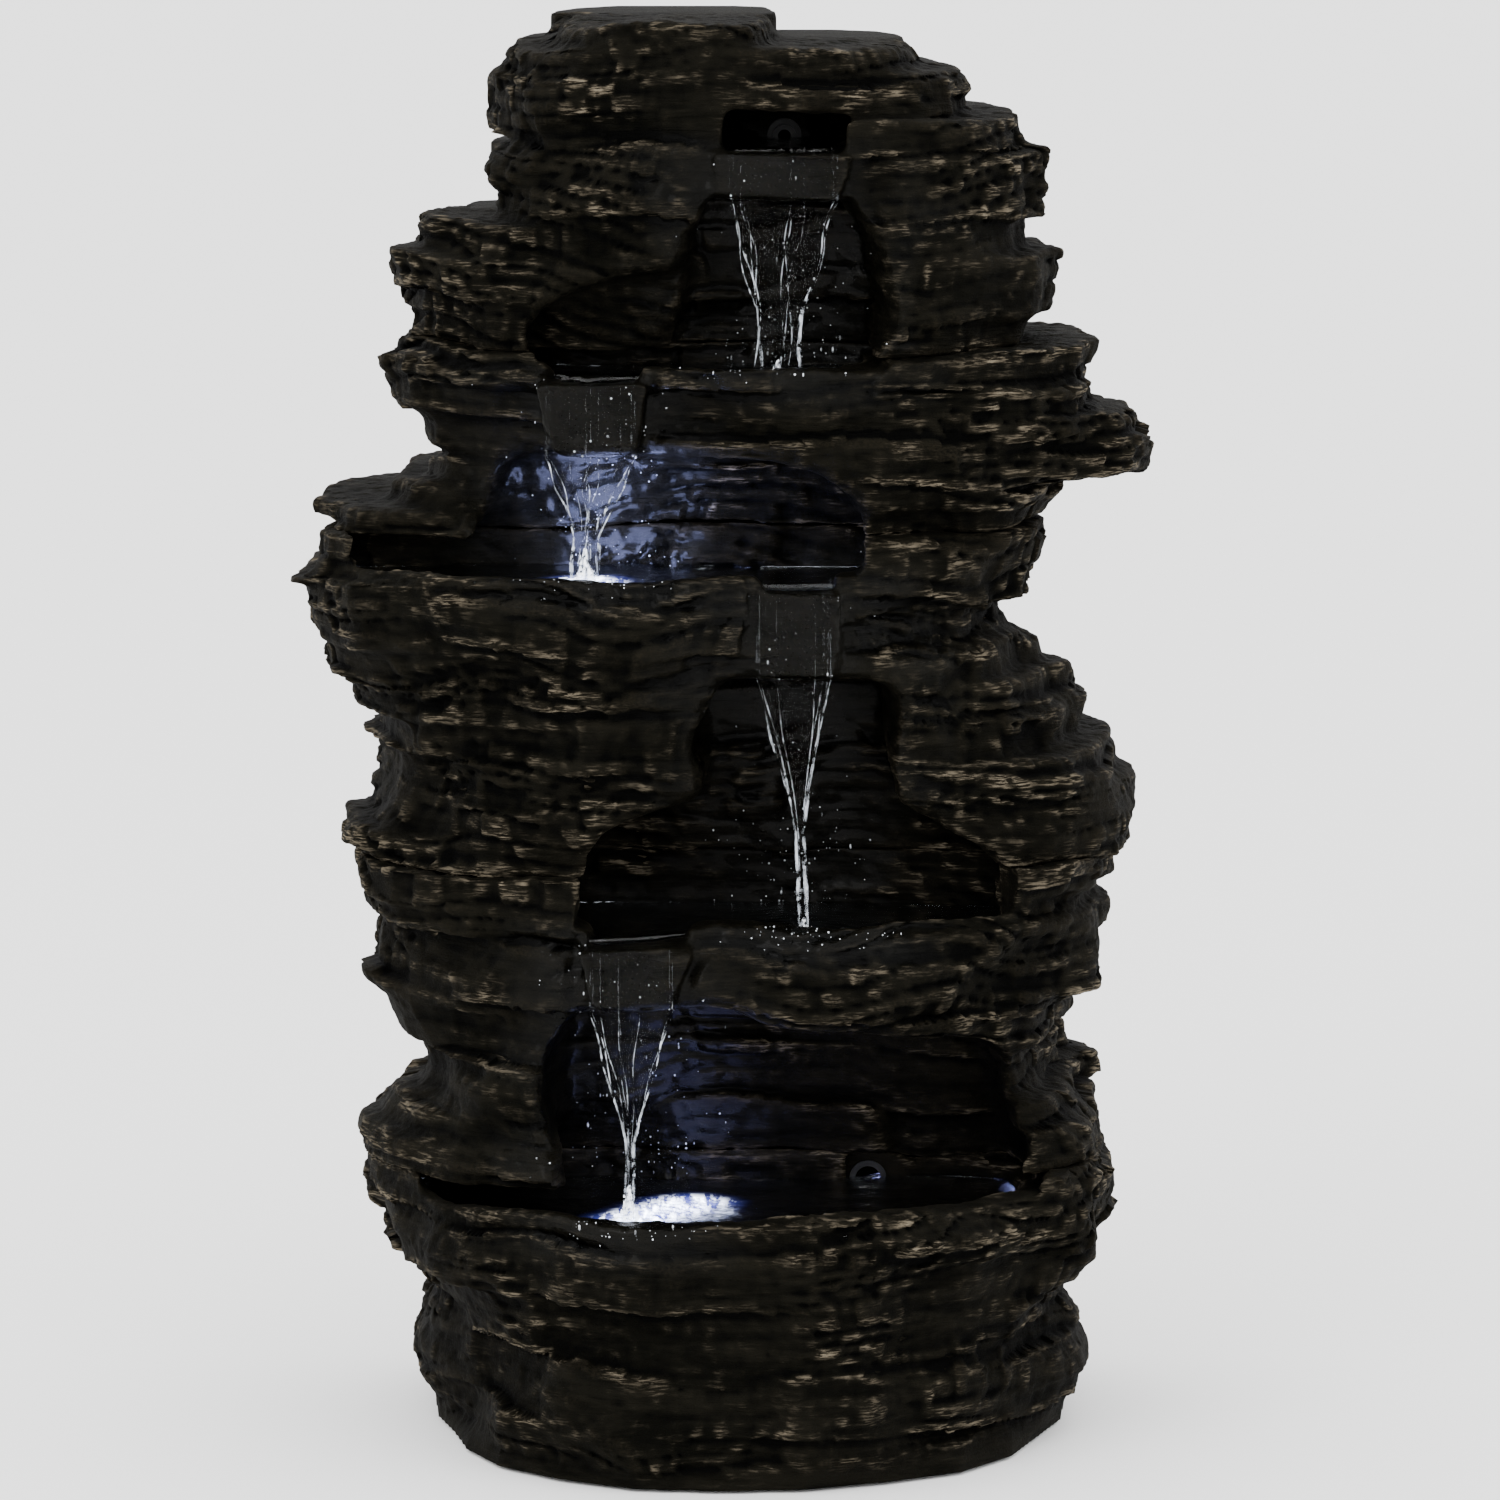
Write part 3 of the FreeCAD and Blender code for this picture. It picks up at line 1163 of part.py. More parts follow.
for light, place in (("pool_light", pool_light_place), ("tier_light", tier_light_place)):
    nodes[light + "_housing"] = light_housing(place)
    nodes[light + "_board"] = light_board(place)
    nodes[light + "_leds"] = light_leds(place)
    nodes[light + "_lens"] = light_lens(place)
    nodes[light + "_bezel"] = light_bezel(place)
    nodes[light + "_screws"] = light_screws(place)

paths = {"supply_hose": (hose_length, hose_radii)}
for name, radius, route in (("pool_light_lead", light_lead_radius, pool_lead_route()),
                            ("tier_light_lead", light_lead_radius, tier_lead_route()),
                            ("pump_lead", pump_lead_radius, pump_lead_route())):
    nodes[name], *paths[name] = swept(radius, route)
for name, place, pool in (("pool_lead_grommet", pool_light_place, castings[0].pool),
                          ("tier_lead_grommet", tier_light_place, castings[2].pool)):
    hole = Vector(place.x, at_y(pool.rear), place.z + lead_rise)
    nodes[name] = grommet(hole, light_lead_radius, wall)
nodes["junction_box"] = junction_box()
nodes["junction_lid"] = junction_lid()
nodes["junction_lid_screws"] = lid_screws()
nodes["terminal_block"] = terminal_block()
nodes["cord_gland"] = cord_gland()
nodes["gland_nut"] = gland_nut()

os.makedirs("parts", exist_ok=True)
for name, shape in nodes.items():
    shape.exportStep("parts/" + name + ".step")
    print(name, len(shape.Solids), "solid(s)", "valid" if shape.isValid() else "INVALID",
          round(shape.Volume / 1000, 2), "cm3")
for name, (length, radii) in paths.items():
    print(name, "path", round(length), "mm, radii of its bends", radii)
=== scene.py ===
import json
import bmesh
import bpy
import numpy as np
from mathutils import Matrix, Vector


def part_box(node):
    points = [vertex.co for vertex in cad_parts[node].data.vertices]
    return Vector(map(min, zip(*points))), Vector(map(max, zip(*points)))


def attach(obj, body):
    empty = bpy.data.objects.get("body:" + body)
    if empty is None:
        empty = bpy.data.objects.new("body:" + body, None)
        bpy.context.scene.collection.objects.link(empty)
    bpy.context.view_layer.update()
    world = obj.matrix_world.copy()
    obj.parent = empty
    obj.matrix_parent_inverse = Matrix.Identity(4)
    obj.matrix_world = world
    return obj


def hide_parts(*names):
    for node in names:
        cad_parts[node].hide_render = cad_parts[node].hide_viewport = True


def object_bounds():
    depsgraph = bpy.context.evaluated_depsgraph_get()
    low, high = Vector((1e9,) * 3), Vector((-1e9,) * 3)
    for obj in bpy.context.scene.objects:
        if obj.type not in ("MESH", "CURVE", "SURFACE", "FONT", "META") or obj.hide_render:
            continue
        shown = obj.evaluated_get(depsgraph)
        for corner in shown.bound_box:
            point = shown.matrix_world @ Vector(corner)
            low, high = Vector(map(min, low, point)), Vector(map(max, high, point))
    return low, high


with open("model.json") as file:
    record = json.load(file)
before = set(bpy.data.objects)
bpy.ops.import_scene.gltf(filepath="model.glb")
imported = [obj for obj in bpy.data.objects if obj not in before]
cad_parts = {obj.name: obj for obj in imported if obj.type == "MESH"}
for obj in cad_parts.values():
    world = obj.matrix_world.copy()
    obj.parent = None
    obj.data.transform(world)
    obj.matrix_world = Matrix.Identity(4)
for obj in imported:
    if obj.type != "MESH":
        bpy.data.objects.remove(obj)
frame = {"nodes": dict(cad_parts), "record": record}  # CAD bodies, nodes, joints and record, in metres
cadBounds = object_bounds()
print("frame loaded:", len(frame["nodes"]), "nodes")


# Ramp from 0 at low to 1 at high, with flat ends.
def softStep(low, high, value):
    share = np.clip((value - low) / (high - low), 0, 1)
    return share * share * (3 - 2 * share)


# A number between 0 and 1 for each whole-number cell, from a mixed integer hash.
def cellValue(cell, seed):
    mixed = (cell[..., 0] * 73856093) ^ (cell[..., 1] * 19349663) ^ (cell[..., 2] * 83492791)
    mixed = (mixed ^ (seed * 40503 + 977)) & 0x7FFFFFFF
    mixed = ((mixed ^ (mixed >> 13)) * 1274126177) & 0x7FFFFFFF
    mixed = ((mixed ^ (mixed >> 15)) * 668265263) & 0x7FFFFFFF
    return (mixed ^ (mixed >> 12)) % 65536 / 65535


# Smooth noise between 0 and 1: the values at a cell's eight corners, blended by a quintic fade.
def smoothNoise(points, seed=0):
    cell = np.floor(points).astype(np.int64)
    part = points - cell
    fade = part ** 3 * (part * (part * 6 - 15) + 10)
    total = np.zeros(len(points))
    for corner in np.ndindex(2, 2, 2):
        share = np.prod(np.where(corner, fade, 1 - fade), axis=1)
        total += share * cellValue(cell + np.array(corner), seed)
    return total


# Fractal noise about 0: each octave has twice the frequency and half the height of the last one.
def fractalNoise(points, octaves, seed):
    total = np.zeros(len(points))
    height = 1.0
    for octave in range(octaves):
        total += height * (smoothNoise(points * 2 ** octave, seed + octave) * 2 - 1)
        height *= 0.5
    return total


# Fractal noise over a grid, given as three arrays that broadcast together.
def gridNoise(x, y, z, octaves, seed):
    grid = np.stack(np.broadcast_arrays(x, y, z), -1)
    return fractalNoise(grid.reshape(-1, 3), octaves, seed).reshape(grid.shape[:-1])


def meshPoints(mesh):
    flat = np.empty(len(mesh.vertices) * 3)
    mesh.vertices.foreach_get("co", flat)
    return flat.reshape(-1, 3)


def meshNormals(mesh):
    flat = np.empty(len(mesh.vertices) * 3)
    mesh.vertex_normals.foreach_get("vector", flat)
    return flat.reshape(-1, 3)


def meshEdges(mesh):
    flat = np.empty(len(mesh.edges) * 2, dtype=np.int32)
    mesh.edges.foreach_get("vertices", flat)
    return flat.reshape(-1, 2)


def setPoints(mesh, points):
    mesh.vertices.foreach_set("co", points.ravel())
    mesh.update()


def addValues(mesh, name, values):
    layer = mesh.attributes.new(name, "FLOAT", "POINT")
    layer.data.foreach_set("value", values.astype(np.float32))


# Mean of each vertex's neighbours, counted over the mesh's edges.
def neighbourMean(edges, values):
    count = np.bincount(edges.ravel(), minlength=len(values)).clip(1)
    columns = values.reshape(len(values), -1).T
    sums = [np.bincount(edges[:, 0], column[edges[:, 1]], len(values))
            + np.bincount(edges[:, 1], column[edges[:, 0]], len(values)) for column in columns]
    return (np.array(sums) / count).T.reshape(values.shape)


def newObject(name, data):
    made = bpy.data.objects.new(name, data)
    bpy.context.scene.collection.objects.link(made)
    return made


def newPiece(name, mesh):
    piece = newObject(name, mesh)
    mesh.shade_smooth()
    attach(piece, "root")
    return piece


# The mesh that a helper object's modifier makes. The helper goes away.
def modifiedMesh(helper):
    made = bpy.data.meshes.new_from_object(helper.evaluated_get(bpy.context.evaluated_depsgraph_get()))
    bpy.data.objects.remove(helper)
    return made


# Quads of a grid of rows by columns, given as vertex numbers. The last column joins the first.
def gridQuads(rows, columns):
    row = np.arange(rows - 1)[:, None]
    column = np.arange(columns)[None, :]
    nextColumn = (column + 1) % columns
    corners = [row * columns + column, row * columns + nextColumn,
               (row + 1) * columns + nextColumn, (row + 1) * columns + column]
    return np.stack(corners, axis=-1).reshape(-1, 4)


def meshFrom(name, points, quads):
    mesh = bpy.data.meshes.new(name)
    mesh.from_pydata(points.reshape(-1, 3).tolist(), [], quads.tolist())
    mesh.validate()
    return mesh


# Closes a tube's open ends with one face each.
def cappedEnds(mesh):
    work = bmesh.new()
    work.from_mesh(mesh)
    bmesh.ops.holes_fill(work, edges=work.edges, sides=0)
    work.to_mesh(mesh)
    work.free()


# Merges a pole's points and a seam, and turns every face outwards.
def recalculated(mesh, merge=1e-6):
    work = bmesh.new()
    work.from_mesh(mesh)
    bmesh.ops.remove_doubles(work, verts=work.verts, dist=merge)
    bmesh.ops.recalc_face_normals(work, faces=work.faces)
    if work.calc_volume(signed=True) < 0:  # a very thin piece can come out inside out
        bmesh.ops.reverse_faces(work, faces=work.faces)
    work.to_mesh(mesh)
    work.free()
    return mesh


def newNode(tree, kind, **values):
    node = tree.nodes.new(kind)
    for name, value in values.items():
        if hasattr(node, name):
            setattr(node, name, value)
        else:
            node.inputs[name.replace("_", " ")].default_value = value
    return node


def newGroup(name, inputs, outputs):
    tree = bpy.data.node_groups.new(name, "ShaderNodeTree")
    for socket, (kind, default) in inputs.items():
        made = tree.interface.new_socket(socket, in_out="INPUT", socket_type=kind)
        if default is not None:
            made.default_value = default
    for socket, kind in outputs.items():
        tree.interface.new_socket(socket, in_out="OUTPUT", socket_type=kind)
    return tree, tree.nodes.new("NodeGroupInput"), tree.nodes.new("NodeGroupOutput")


def mathNode(tree, operation, first, second=None):
    node = tree.nodes.new("ShaderNodeMath")
    node.operation = operation
    for socket, value in zip(node.inputs, (first, second)):
        if value is None:
            continue
        if isinstance(value, (int, float)):
            socket.default_value = value
        else:
            tree.links.new(value, socket)
    return node.outputs[0]


def rampNode(tree, value, low, high):
    node = newNode(tree, "ShaderNodeMapRange", interpolation_type="SMOOTHSTEP")
    setInputs(node, {"From Min": low, "From Max": high})
    tree.links.new(value, node.inputs["Value"])
    return node.outputs["Result"]


def mixColour(tree, share, first, second):
    node = newNode(tree, "ShaderNodeMix", data_type="RGBA")
    for socket, value in ((node.inputs[0], share), (node.inputs[6], first), (node.inputs[7], second)):
        if isinstance(value, bpy.types.NodeSocket):
            tree.links.new(value, socket)
        else:
            socket.default_value = value
    return node.outputs[2]


def setInputs(node, values):
    for name, value in values.items():
        node.inputs[name].default_value = value


# A group's outputs: its noise as it is, and as a mask that passes from Low to High.
def giveMask(tree, given, noise, result):
    ramp = newNode(tree, "ShaderNodeMapRange", interpolation_type="SMOOTHSTEP")
    tree.links.new(noise.outputs["Fac"], ramp.inputs["Value"])
    tree.links.new(given.outputs["Low"], ramp.inputs["From Min"])
    tree.links.new(given.outputs["High"], ramp.inputs["From Max"])
    tree.links.new(ramp.outputs["Result"], result.inputs["Mask"])
    tree.links.new(noise.outputs["Fac"], result.inputs["Value"])


# Noise stretched flat, for layers and streaks: Size is its height in metres, Stretch how much longer it is.
def makeStreakGroup():
    tree, given, result = newGroup(
        "flatStreaks",
        {"Vector": ("NodeSocketVector", None), "Size": ("NodeSocketFloat", 0.004),
         "Stretch": ("NodeSocketFloat", 8.0), "Low": ("NodeSocketFloat", 0.4),
         "High": ("NodeSocketFloat", 0.6)},
        {"Mask": "NodeSocketFloat", "Value": "NodeSocketFloat"})
    flat = newNode(tree, "ShaderNodeCombineXYZ", Z=1.0)
    side = mathNode(tree, "DIVIDE", 1.0, given.outputs["Stretch"])
    tree.links.new(side, flat.inputs["X"])
    tree.links.new(side, flat.inputs["Y"])
    stretched = newNode(tree, "ShaderNodeVectorMath", operation="MULTIPLY")
    tree.links.new(given.outputs["Vector"], stretched.inputs[0])
    tree.links.new(flat.outputs[0], stretched.inputs[1])
    noise = newNode(tree, "ShaderNodeTexNoise", Detail=5.0, Roughness=0.62, Distortion=0.6)
    tree.links.new(stretched.outputs[0], noise.inputs["Vector"])
    tree.links.new(mathNode(tree, "DIVIDE", 1.0, given.outputs["Size"]), noise.inputs["Scale"])
    giveMask(tree, given, noise, result)
    return tree


# Even noise: Size is a grain's width in metres, and Mask is where it passes from Low to High.
def makeGrainGroup():
    tree, given, result = newGroup(
        "evenGrain",
        {"Vector": ("NodeSocketVector", None), "Size": ("NodeSocketFloat", 0.002),
         "Low": ("NodeSocketFloat", 0.4), "High": ("NodeSocketFloat", 0.6)},
        {"Mask": "NodeSocketFloat", "Value": "NodeSocketFloat"})
    noise = newNode(tree, "ShaderNodeTexNoise", Detail=4.0, Roughness=0.6)
    tree.links.new(given.outputs["Vector"], noise.inputs["Vector"])
    tree.links.new(mathNode(tree, "DIVIDE", 1.0, given.outputs["Size"]), noise.inputs["Scale"])
    giveMask(tree, given, noise, result)
    return tree


streakGroup = makeStreakGroup()
grainGroup = makeGrainGroup()


def newMaterial(name):
    material = bpy.data.materials.new(name)
    material.use_nodes = True
    tree = material.node_tree
    shader = tree.nodes["Principled BSDF"]
    where = tree.nodes.new("ShaderNodeTexCoord").outputs["Object"]
    return material, tree, shader, where


def groupAt(tree, group, where, **values):
    node = tree.nodes.new("ShaderNodeGroup")
    node.node_tree = group
    setInputs(node, values)
    tree.links.new(where, node.inputs["Vector"])
    return node


def bumpFrom(tree, shader, height, strength, distance):
    bump = newNode(tree, "ShaderNodeBump", Strength=strength, Distance=distance)
    tree.links.new(height, bump.inputs["Height"])
    tree.links.new(bump.outputs["Normal"], shader.inputs["Normal"])


def attributeValue(tree, name):
    return newNode(tree, "ShaderNodeAttribute", attribute_name=name).outputs["Fac"]


rockFinish = {
    "body": (0.0013, 0.0012, 0.0006, 1), "bodyLight": (0.0046, 0.0041, 0.0026, 1),
    # hollow is the painted shade put in the hollows, and also the colour that soaked rock goes towards
    "hollow": (0.0003, 0.0003, 0.0002, 1), "dryBrush": (0.125, 0.104, 0.073, 1),
    "dust": (0.012, 0.0098, 0.0060, 1), "roughness": 0.66, "wetRoughness": 0.18,
    "layerHeight": 0.0042, "grainSize": 0.0022, "specular": 0.03, "wetCoat": 0.07,
    "toneHeight": 0.016, "patchSize": 0.055, "brushHeight": 0.0016, "brushLength": 8.0,
    "dustShare": 0.5, "wetDarkening": 0.55, "bumpStrength": 0.85, "bumpDepth": 0.0032,
}


# Dark cast shale: two browns in flat streaks, near-black painted shade in the hollows, tan brushed on raised
# edges, gloss where it is wet.
def makeRockMaterial():
    material, tree, shader, where = newMaterial("paintedShale")
    convex, wet = attributeValue(tree, "raised"), attributeValue(tree, "wet")
    tone = groupAt(tree, streakGroup, where, Size=rockFinish["toneHeight"], Stretch=5.0, Low=0.36, High=0.66)
    layers = groupAt(tree, streakGroup, where, Size=rockFinish["layerHeight"], Stretch=9.0)
    patches = groupAt(tree, grainGroup, where, Size=rockFinish["patchSize"], Low=0.40, High=0.66)
    brush = groupAt(tree, streakGroup, where, Size=rockFinish["brushHeight"],
                    Stretch=rockFinish["brushLength"], Low=0.47, High=0.62)
    grain = groupAt(tree, grainGroup, where, Size=rockFinish["grainSize"], Low=0.3, High=0.7)
    colour = mixColour(tree, tone.outputs["Mask"], rockFinish["body"], rockFinish["bodyLight"])
    # Painted shade: where the surface is hollow, the colour goes towards near-black, as if shade fell there.
    colour = mixColour(tree, rampNode(tree, convex, 0.1, -0.5), colour, rockFinish["hollow"])
    dusty = mathNode(tree, "MULTIPLY", rampNode(tree, convex, 0.0, 0.5), grain.outputs["Mask"])
    dusty = mathNode(tree, "MULTIPLY", dusty, rockFinish["dustShare"])
    colour = mixColour(tree, dusty, colour, rockFinish["dust"])
    brushed = mathNode(tree, "MULTIPLY", rampNode(tree, convex, 0.0, 0.55), brush.outputs["Mask"])
    brushed = mathNode(tree, "MULTIPLY", brushed, patches.outputs["Mask"])
    brushed = mathNode(tree, "MULTIPLY", brushed, mathNode(tree, "SUBTRACT", 1.0, wet))
    colour = mixColour(tree, brushed, colour, rockFinish["dryBrush"])
    # Soaked rock is darker: it goes part of the way towards the same near-black.
    soaked = mixColour(tree, rockFinish["wetDarkening"], colour, rockFinish["hollow"])
    tree.links.new(mixColour(tree, wet, colour, soaked), shader.inputs["Base Color"])
    setInputs(shader, {"Specular IOR Level": rockFinish["specular"],
                       "Coat Roughness": rockFinish["wetRoughness"]})
    tree.links.new(mathNode(tree, "MULTIPLY", wet, rockFinish["wetCoat"]), shader.inputs["Coat Weight"])
    dryGrain = mathNode(tree, "MULTIPLY", grain.outputs["Value"], 0.22)
    rough = mathNode(tree, "ADD", rockFinish["roughness"], dryGrain)
    dry = mathNode(tree, "MULTIPLY", rough, mathNode(tree, "SUBTRACT", 1.0, wet))
    wetGrain = mathNode(tree, "MULTIPLY", grain.outputs["Value"], 0.15)
    damp = mathNode(tree, "MULTIPLY", wet, mathNode(tree, "ADD", rockFinish["wetRoughness"], wetGrain))
    tree.links.new(mathNode(tree, "ADD", dry, damp), shader.inputs["Roughness"])
    pits = mathNode(tree, "MULTIPLY", grain.outputs["Value"], 0.35)
    height = mathNode(tree, "ADD", layers.outputs["Value"], pits)
    bumpFrom(tree, shader, height, rockFinish["bumpStrength"], rockFinish["bumpDepth"])
    return material


waterFinish = {
    "colour": (0.80, 0.88, 0.96, 1), "ior": 1.333, "roughness": 0.03,
    "glow": (0.78, 0.84, 1.0, 1), "halo": (0.012, 0.014, 0.075, 1), "glowStrength": 7.0,
    "flakeScale": (1.0, 0.22, 1.0), "flakeSize": 0.0062, "filmGlint": 0.35, "filmLeast": 0.004,
    "strand": (0.78, 0.84, 0.92, 1), "strandShown": 0.42,
}


# Clear water with fine ripples. A lit pool has painted flakes of its lamp's light, given off as emission
# where the attribute glow is high, long in depth, because the pool is seen nearly edge on, inside a faint
# painted halo.
def makeWaterMaterial(name, rippleSize, rippleDepth, stretch, lit=False, thin=False):
    material, tree, shader, where = newMaterial(name)
    setInputs(shader, {"Base Color": waterFinish["colour"], "Roughness": waterFinish["roughness"],
                       "IOR": waterFinish["ior"], "Transmission Weight": 1.0})
    ripples = groupAt(tree, streakGroup, where, Size=rippleSize, Stretch=stretch, Low=0.45, High=0.75)
    bumpFrom(tree, shader, ripples.outputs["Value"], 0.6, rippleDepth)
    if thin:  # a film shows only where it catches the light
        # Painted glints: the film's alpha follows a ripple mask, not the light, so it shows only in painted
        # glints.
        glint = mathNode(tree, "MULTIPLY", ripples.outputs["Mask"], attributeValue(tree, "broken"))
        glint = mathNode(tree, "MULTIPLY", glint, waterFinish["filmGlint"])
        tree.links.new(mathNode(tree, "ADD", glint, waterFinish["filmLeast"]), shader.inputs["Alpha"])
    # Painted light: flakes of the lamp's light and a blue halo round them, given off by the water as
    # emission.
    if lit:
        glow = attributeValue(tree, "glow")
        lengthened = newNode(tree, "ShaderNodeVectorMath", operation="MULTIPLY")
        tree.links.new(where, lengthened.inputs[0])
        lengthened.inputs[1].default_value = waterFinish["flakeScale"]
        flakes = groupAt(tree, grainGroup, lengthened.outputs[0], Size=waterFinish["flakeSize"],
                         Low=0.50, High=0.57)
        shown = mathNode(tree, "MULTIPLY", flakes.outputs["Mask"], rampNode(tree, glow, 0.15, 0.85))
        halo = mixColour(tree, rampNode(tree, glow, 0.05, 0.9), (0, 0, 0, 1), waterFinish["halo"])
        tree.links.new(mixColour(tree, shown, halo, waterFinish["glow"]), shader.inputs["Emission Color"])
        setInputs(shader, {"Emission Strength": waterFinish["glowStrength"]})
    return material


# Bright strands in a fall: white where the water is broken, clear between. The white is partly the colour of
# broken water and partly painted highlight, and sparse specks along the strands are painted glints.
def makeStrandMaterial():
    material, tree, shader, where = newMaterial("brokenWater")
    setInputs(shader, {"Base Color": waterFinish["strand"], "Roughness": 0.08})
    dashes = groupAt(tree, streakGroup, where, Size=0.011, Stretch=0.35, Low=0.44, High=0.66)
    # Painted glints: sparse specks that make the strand show in its white colour.
    paintedGlintSpecks = groupAt(tree, grainGroup, where, Size=0.0045, Low=0.55, High=0.62)
    dashed = mathNode(tree, "MULTIPLY", dashes.outputs["Mask"], waterFinish["strandShown"])
    glintSpecksShown = mathNode(tree, "MULTIPLY", paintedGlintSpecks.outputs["Mask"], dashes.outputs["Value"])
    shown = mathNode(tree, "MAXIMUM", dashed, glintSpecksShown)
    tree.links.new(mathNode(tree, "MULTIPLY", shown, attributeValue(tree, "broken")), shader.inputs["Alpha"])
    bumpFrom(tree, shader, dashes.outputs["Value"], 0.5, 0.001)
    return material


# White aerated water: bubbles scatter, so it is a bright rough surface. It also gives off its own colour as
# painted glow, faint on the plain one and strong on the lit one, in place of light from the lamp below.
def makeFoamMaterial(name, glowStrength):
    material, tree, shader, where = newMaterial(name)
    bubbles = groupAt(tree, grainGroup, where, Size=0.003, Low=0.35, High=0.65)
    colour = mixColour(tree, bubbles.outputs["Mask"], (0.55, 0.62, 0.72, 1), (0.93, 0.96, 1.0, 1))
    tree.links.new(colour, shader.inputs["Base Color"])
    tree.links.new(rampNode(tree, bubbles.outputs["Value"], 0.47, 0.60), shader.inputs["Alpha"])
    # Painted glow: the foam gives off its own colour as emission.
    tree.links.new(colour, shader.inputs["Emission Color"])
    setInputs(shader, {"Emission Strength": glowStrength, "Roughness": 0.25, "Coat Weight": 0.6})
    bumpFrom(tree, shader, bubbles.outputs["Value"], 0.5, 0.001)
    return material


# Beads of water: glossy, with pale patches as painted glints, so that they glint on dark rock.
def makeBeadMaterial():
    material, tree, shader, where = newMaterial("waterBeads")
    paintedGlintMask = groupAt(tree, grainGroup, where, Size=0.006, Low=0.4, High=0.6)
    # Painted glints: the pale colour in patches stands in for light caught by the clear beads.
    tree.links.new(mixColour(tree, paintedGlintMask.outputs["Mask"], (0.05, 0.055, 0.06, 1), (0.62, 0.66, 0.70, 1)),
                   shader.inputs["Base Color"])
    setInputs(shader, {"Roughness": 0.04, "Coat Weight": 1.0})
    return material


# Moulded plastic: faint mottling, a fine eggshell grain and rubbed, slightly glossier patches.
def makePlasticMaterial(name, colour, roughness, grain=0.0012, coat=0.0):
    material, tree, shader, where = newMaterial(name)
    skin = groupAt(tree, grainGroup, where, Size=grain, Low=0.3, High=0.7)
    cloud = groupAt(tree, grainGroup, where, Size=0.03, Low=0.35, High=0.65)
    darker = tuple(0.72 * part for part in colour[:3]) + (1,)
    tree.links.new(mixColour(tree, cloud.outputs["Mask"], darker, colour), shader.inputs["Base Color"])
    rough = mathNode(tree, "MULTIPLY_ADD", cloud.outputs["Value"], 0.16)
    rough.node.inputs[2].default_value = roughness - 0.08
    setInputs(shader, {"Specular IOR Level": 0.2})
    tree.links.new(rough, shader.inputs["Roughness"])
    setInputs(shader, {"Coat Weight": coat})
    bumpFrom(tree, shader, skin.outputs["Value"], 0.25, 0.0003)
    return material


# Brushed steel: fine straight scratches and dull water marks.
def makeSteelMaterial(name, colour=(0.34, 0.34, 0.33, 1)):
    material, tree, shader, where = newMaterial(name)
    scratches = groupAt(tree, streakGroup, where, Size=0.00035, Stretch=40.0, Low=0.3, High=0.7)
    marks = groupAt(tree, grainGroup, where, Size=0.006, Low=0.48, High=0.62)
    dull = tuple(0.6 * part for part in colour[:3]) + (1,)
    tree.links.new(mixColour(tree, marks.outputs["Mask"], colour, dull), shader.inputs["Base Color"])
    setInputs(shader, {"Metallic": 1.0})
    rough = mathNode(tree, "MULTIPLY_ADD", scratches.outputs["Value"], 0.3)
    rough.node.inputs[2].default_value = 0.16
    tree.links.new(rough, shader.inputs["Roughness"])
    bumpFrom(tree, shader, scratches.outputs["Value"], 0.15, 0.0002)
    return material


# Black rubber: matt, with pale bloom in patches.
def makeRubberMaterial(name, colour=(0.018, 0.018, 0.019, 1)):
    material, tree, shader, where = newMaterial(name)
    bloom = groupAt(tree, grainGroup, where, Size=0.008, Low=0.45, High=0.75)
    skin = groupAt(tree, grainGroup, where, Size=0.0008, Low=0.3, High=0.7)
    pale = tuple(2.2 * part for part in colour[:3]) + (1,)
    tree.links.new(mixColour(tree, bloom.outputs["Mask"], colour, pale), shader.inputs["Base Color"])
    rough = mathNode(tree, "MULTIPLY_ADD", skin.outputs["Value"], 0.2)
    rough.node.inputs[2].default_value = 0.55
    setInputs(shader, {"Specular IOR Level": 0.2})
    tree.links.new(rough, shader.inputs["Roughness"])
    bumpFrom(tree, shader, skin.outputs["Value"], 0.3, 0.0003)
    return material


# Open-cell foam: pores painted dark as the shade inside them, between pale struts.
def makeSpongeMaterial():
    material, tree, shader, where = newMaterial("openCellSponge")
    pores = newNode(tree, "ShaderNodeTexVoronoi", Scale=620.0)
    tree.links.new(where, pores.inputs["Vector"])
    # Painted shade: the pores go near-black, the struts keep the foam's own colour.
    colour = mixColour(tree, rampNode(tree, pores.outputs["Distance"], 0.15, 0.5),
                       (0.008, 0.008, 0.009, 1), (0.07, 0.072, 0.075, 1))
    tree.links.new(colour, shader.inputs["Base Color"])
    setInputs(shader, {"Roughness": 0.95})
    bumpFrom(tree, shader, pores.outputs["Distance"], 0.9, 0.0012)
    return material


# A light-emitting chip: yellowish phosphor under a bright blue-white glow.
def makeChipMaterial():
    material, tree, shader, where = newMaterial("lightChip")
    phosphor = groupAt(tree, grainGroup, where, Size=0.0008, Low=0.4, High=0.6)
    colour = mixColour(tree, phosphor.outputs["Mask"], (0.75, 0.8, 1.0, 1), (0.9, 0.93, 1.0, 1))
    tree.links.new(colour, shader.inputs["Base Color"])
    tree.links.new(colour, shader.inputs["Emission Color"])
    setInputs(shader, {"Emission Strength": 3.0})
    return material


# A clear moulded lens with a slightly uneven surface.
def makeLensMaterial():
    material, tree, shader, where = newMaterial("clearLens")
    setInputs(shader, {"Base Color": (0.93, 0.96, 1.0, 1), "Transmission Weight": 1.0,
                       "Roughness": 0.06, "IOR": 1.49})
    waves = groupAt(tree, grainGroup, where, Size=0.004, Low=0.3, High=0.7)
    bumpFrom(tree, shader, waves.outputs["Value"], 0.2, 0.0003)
    return material


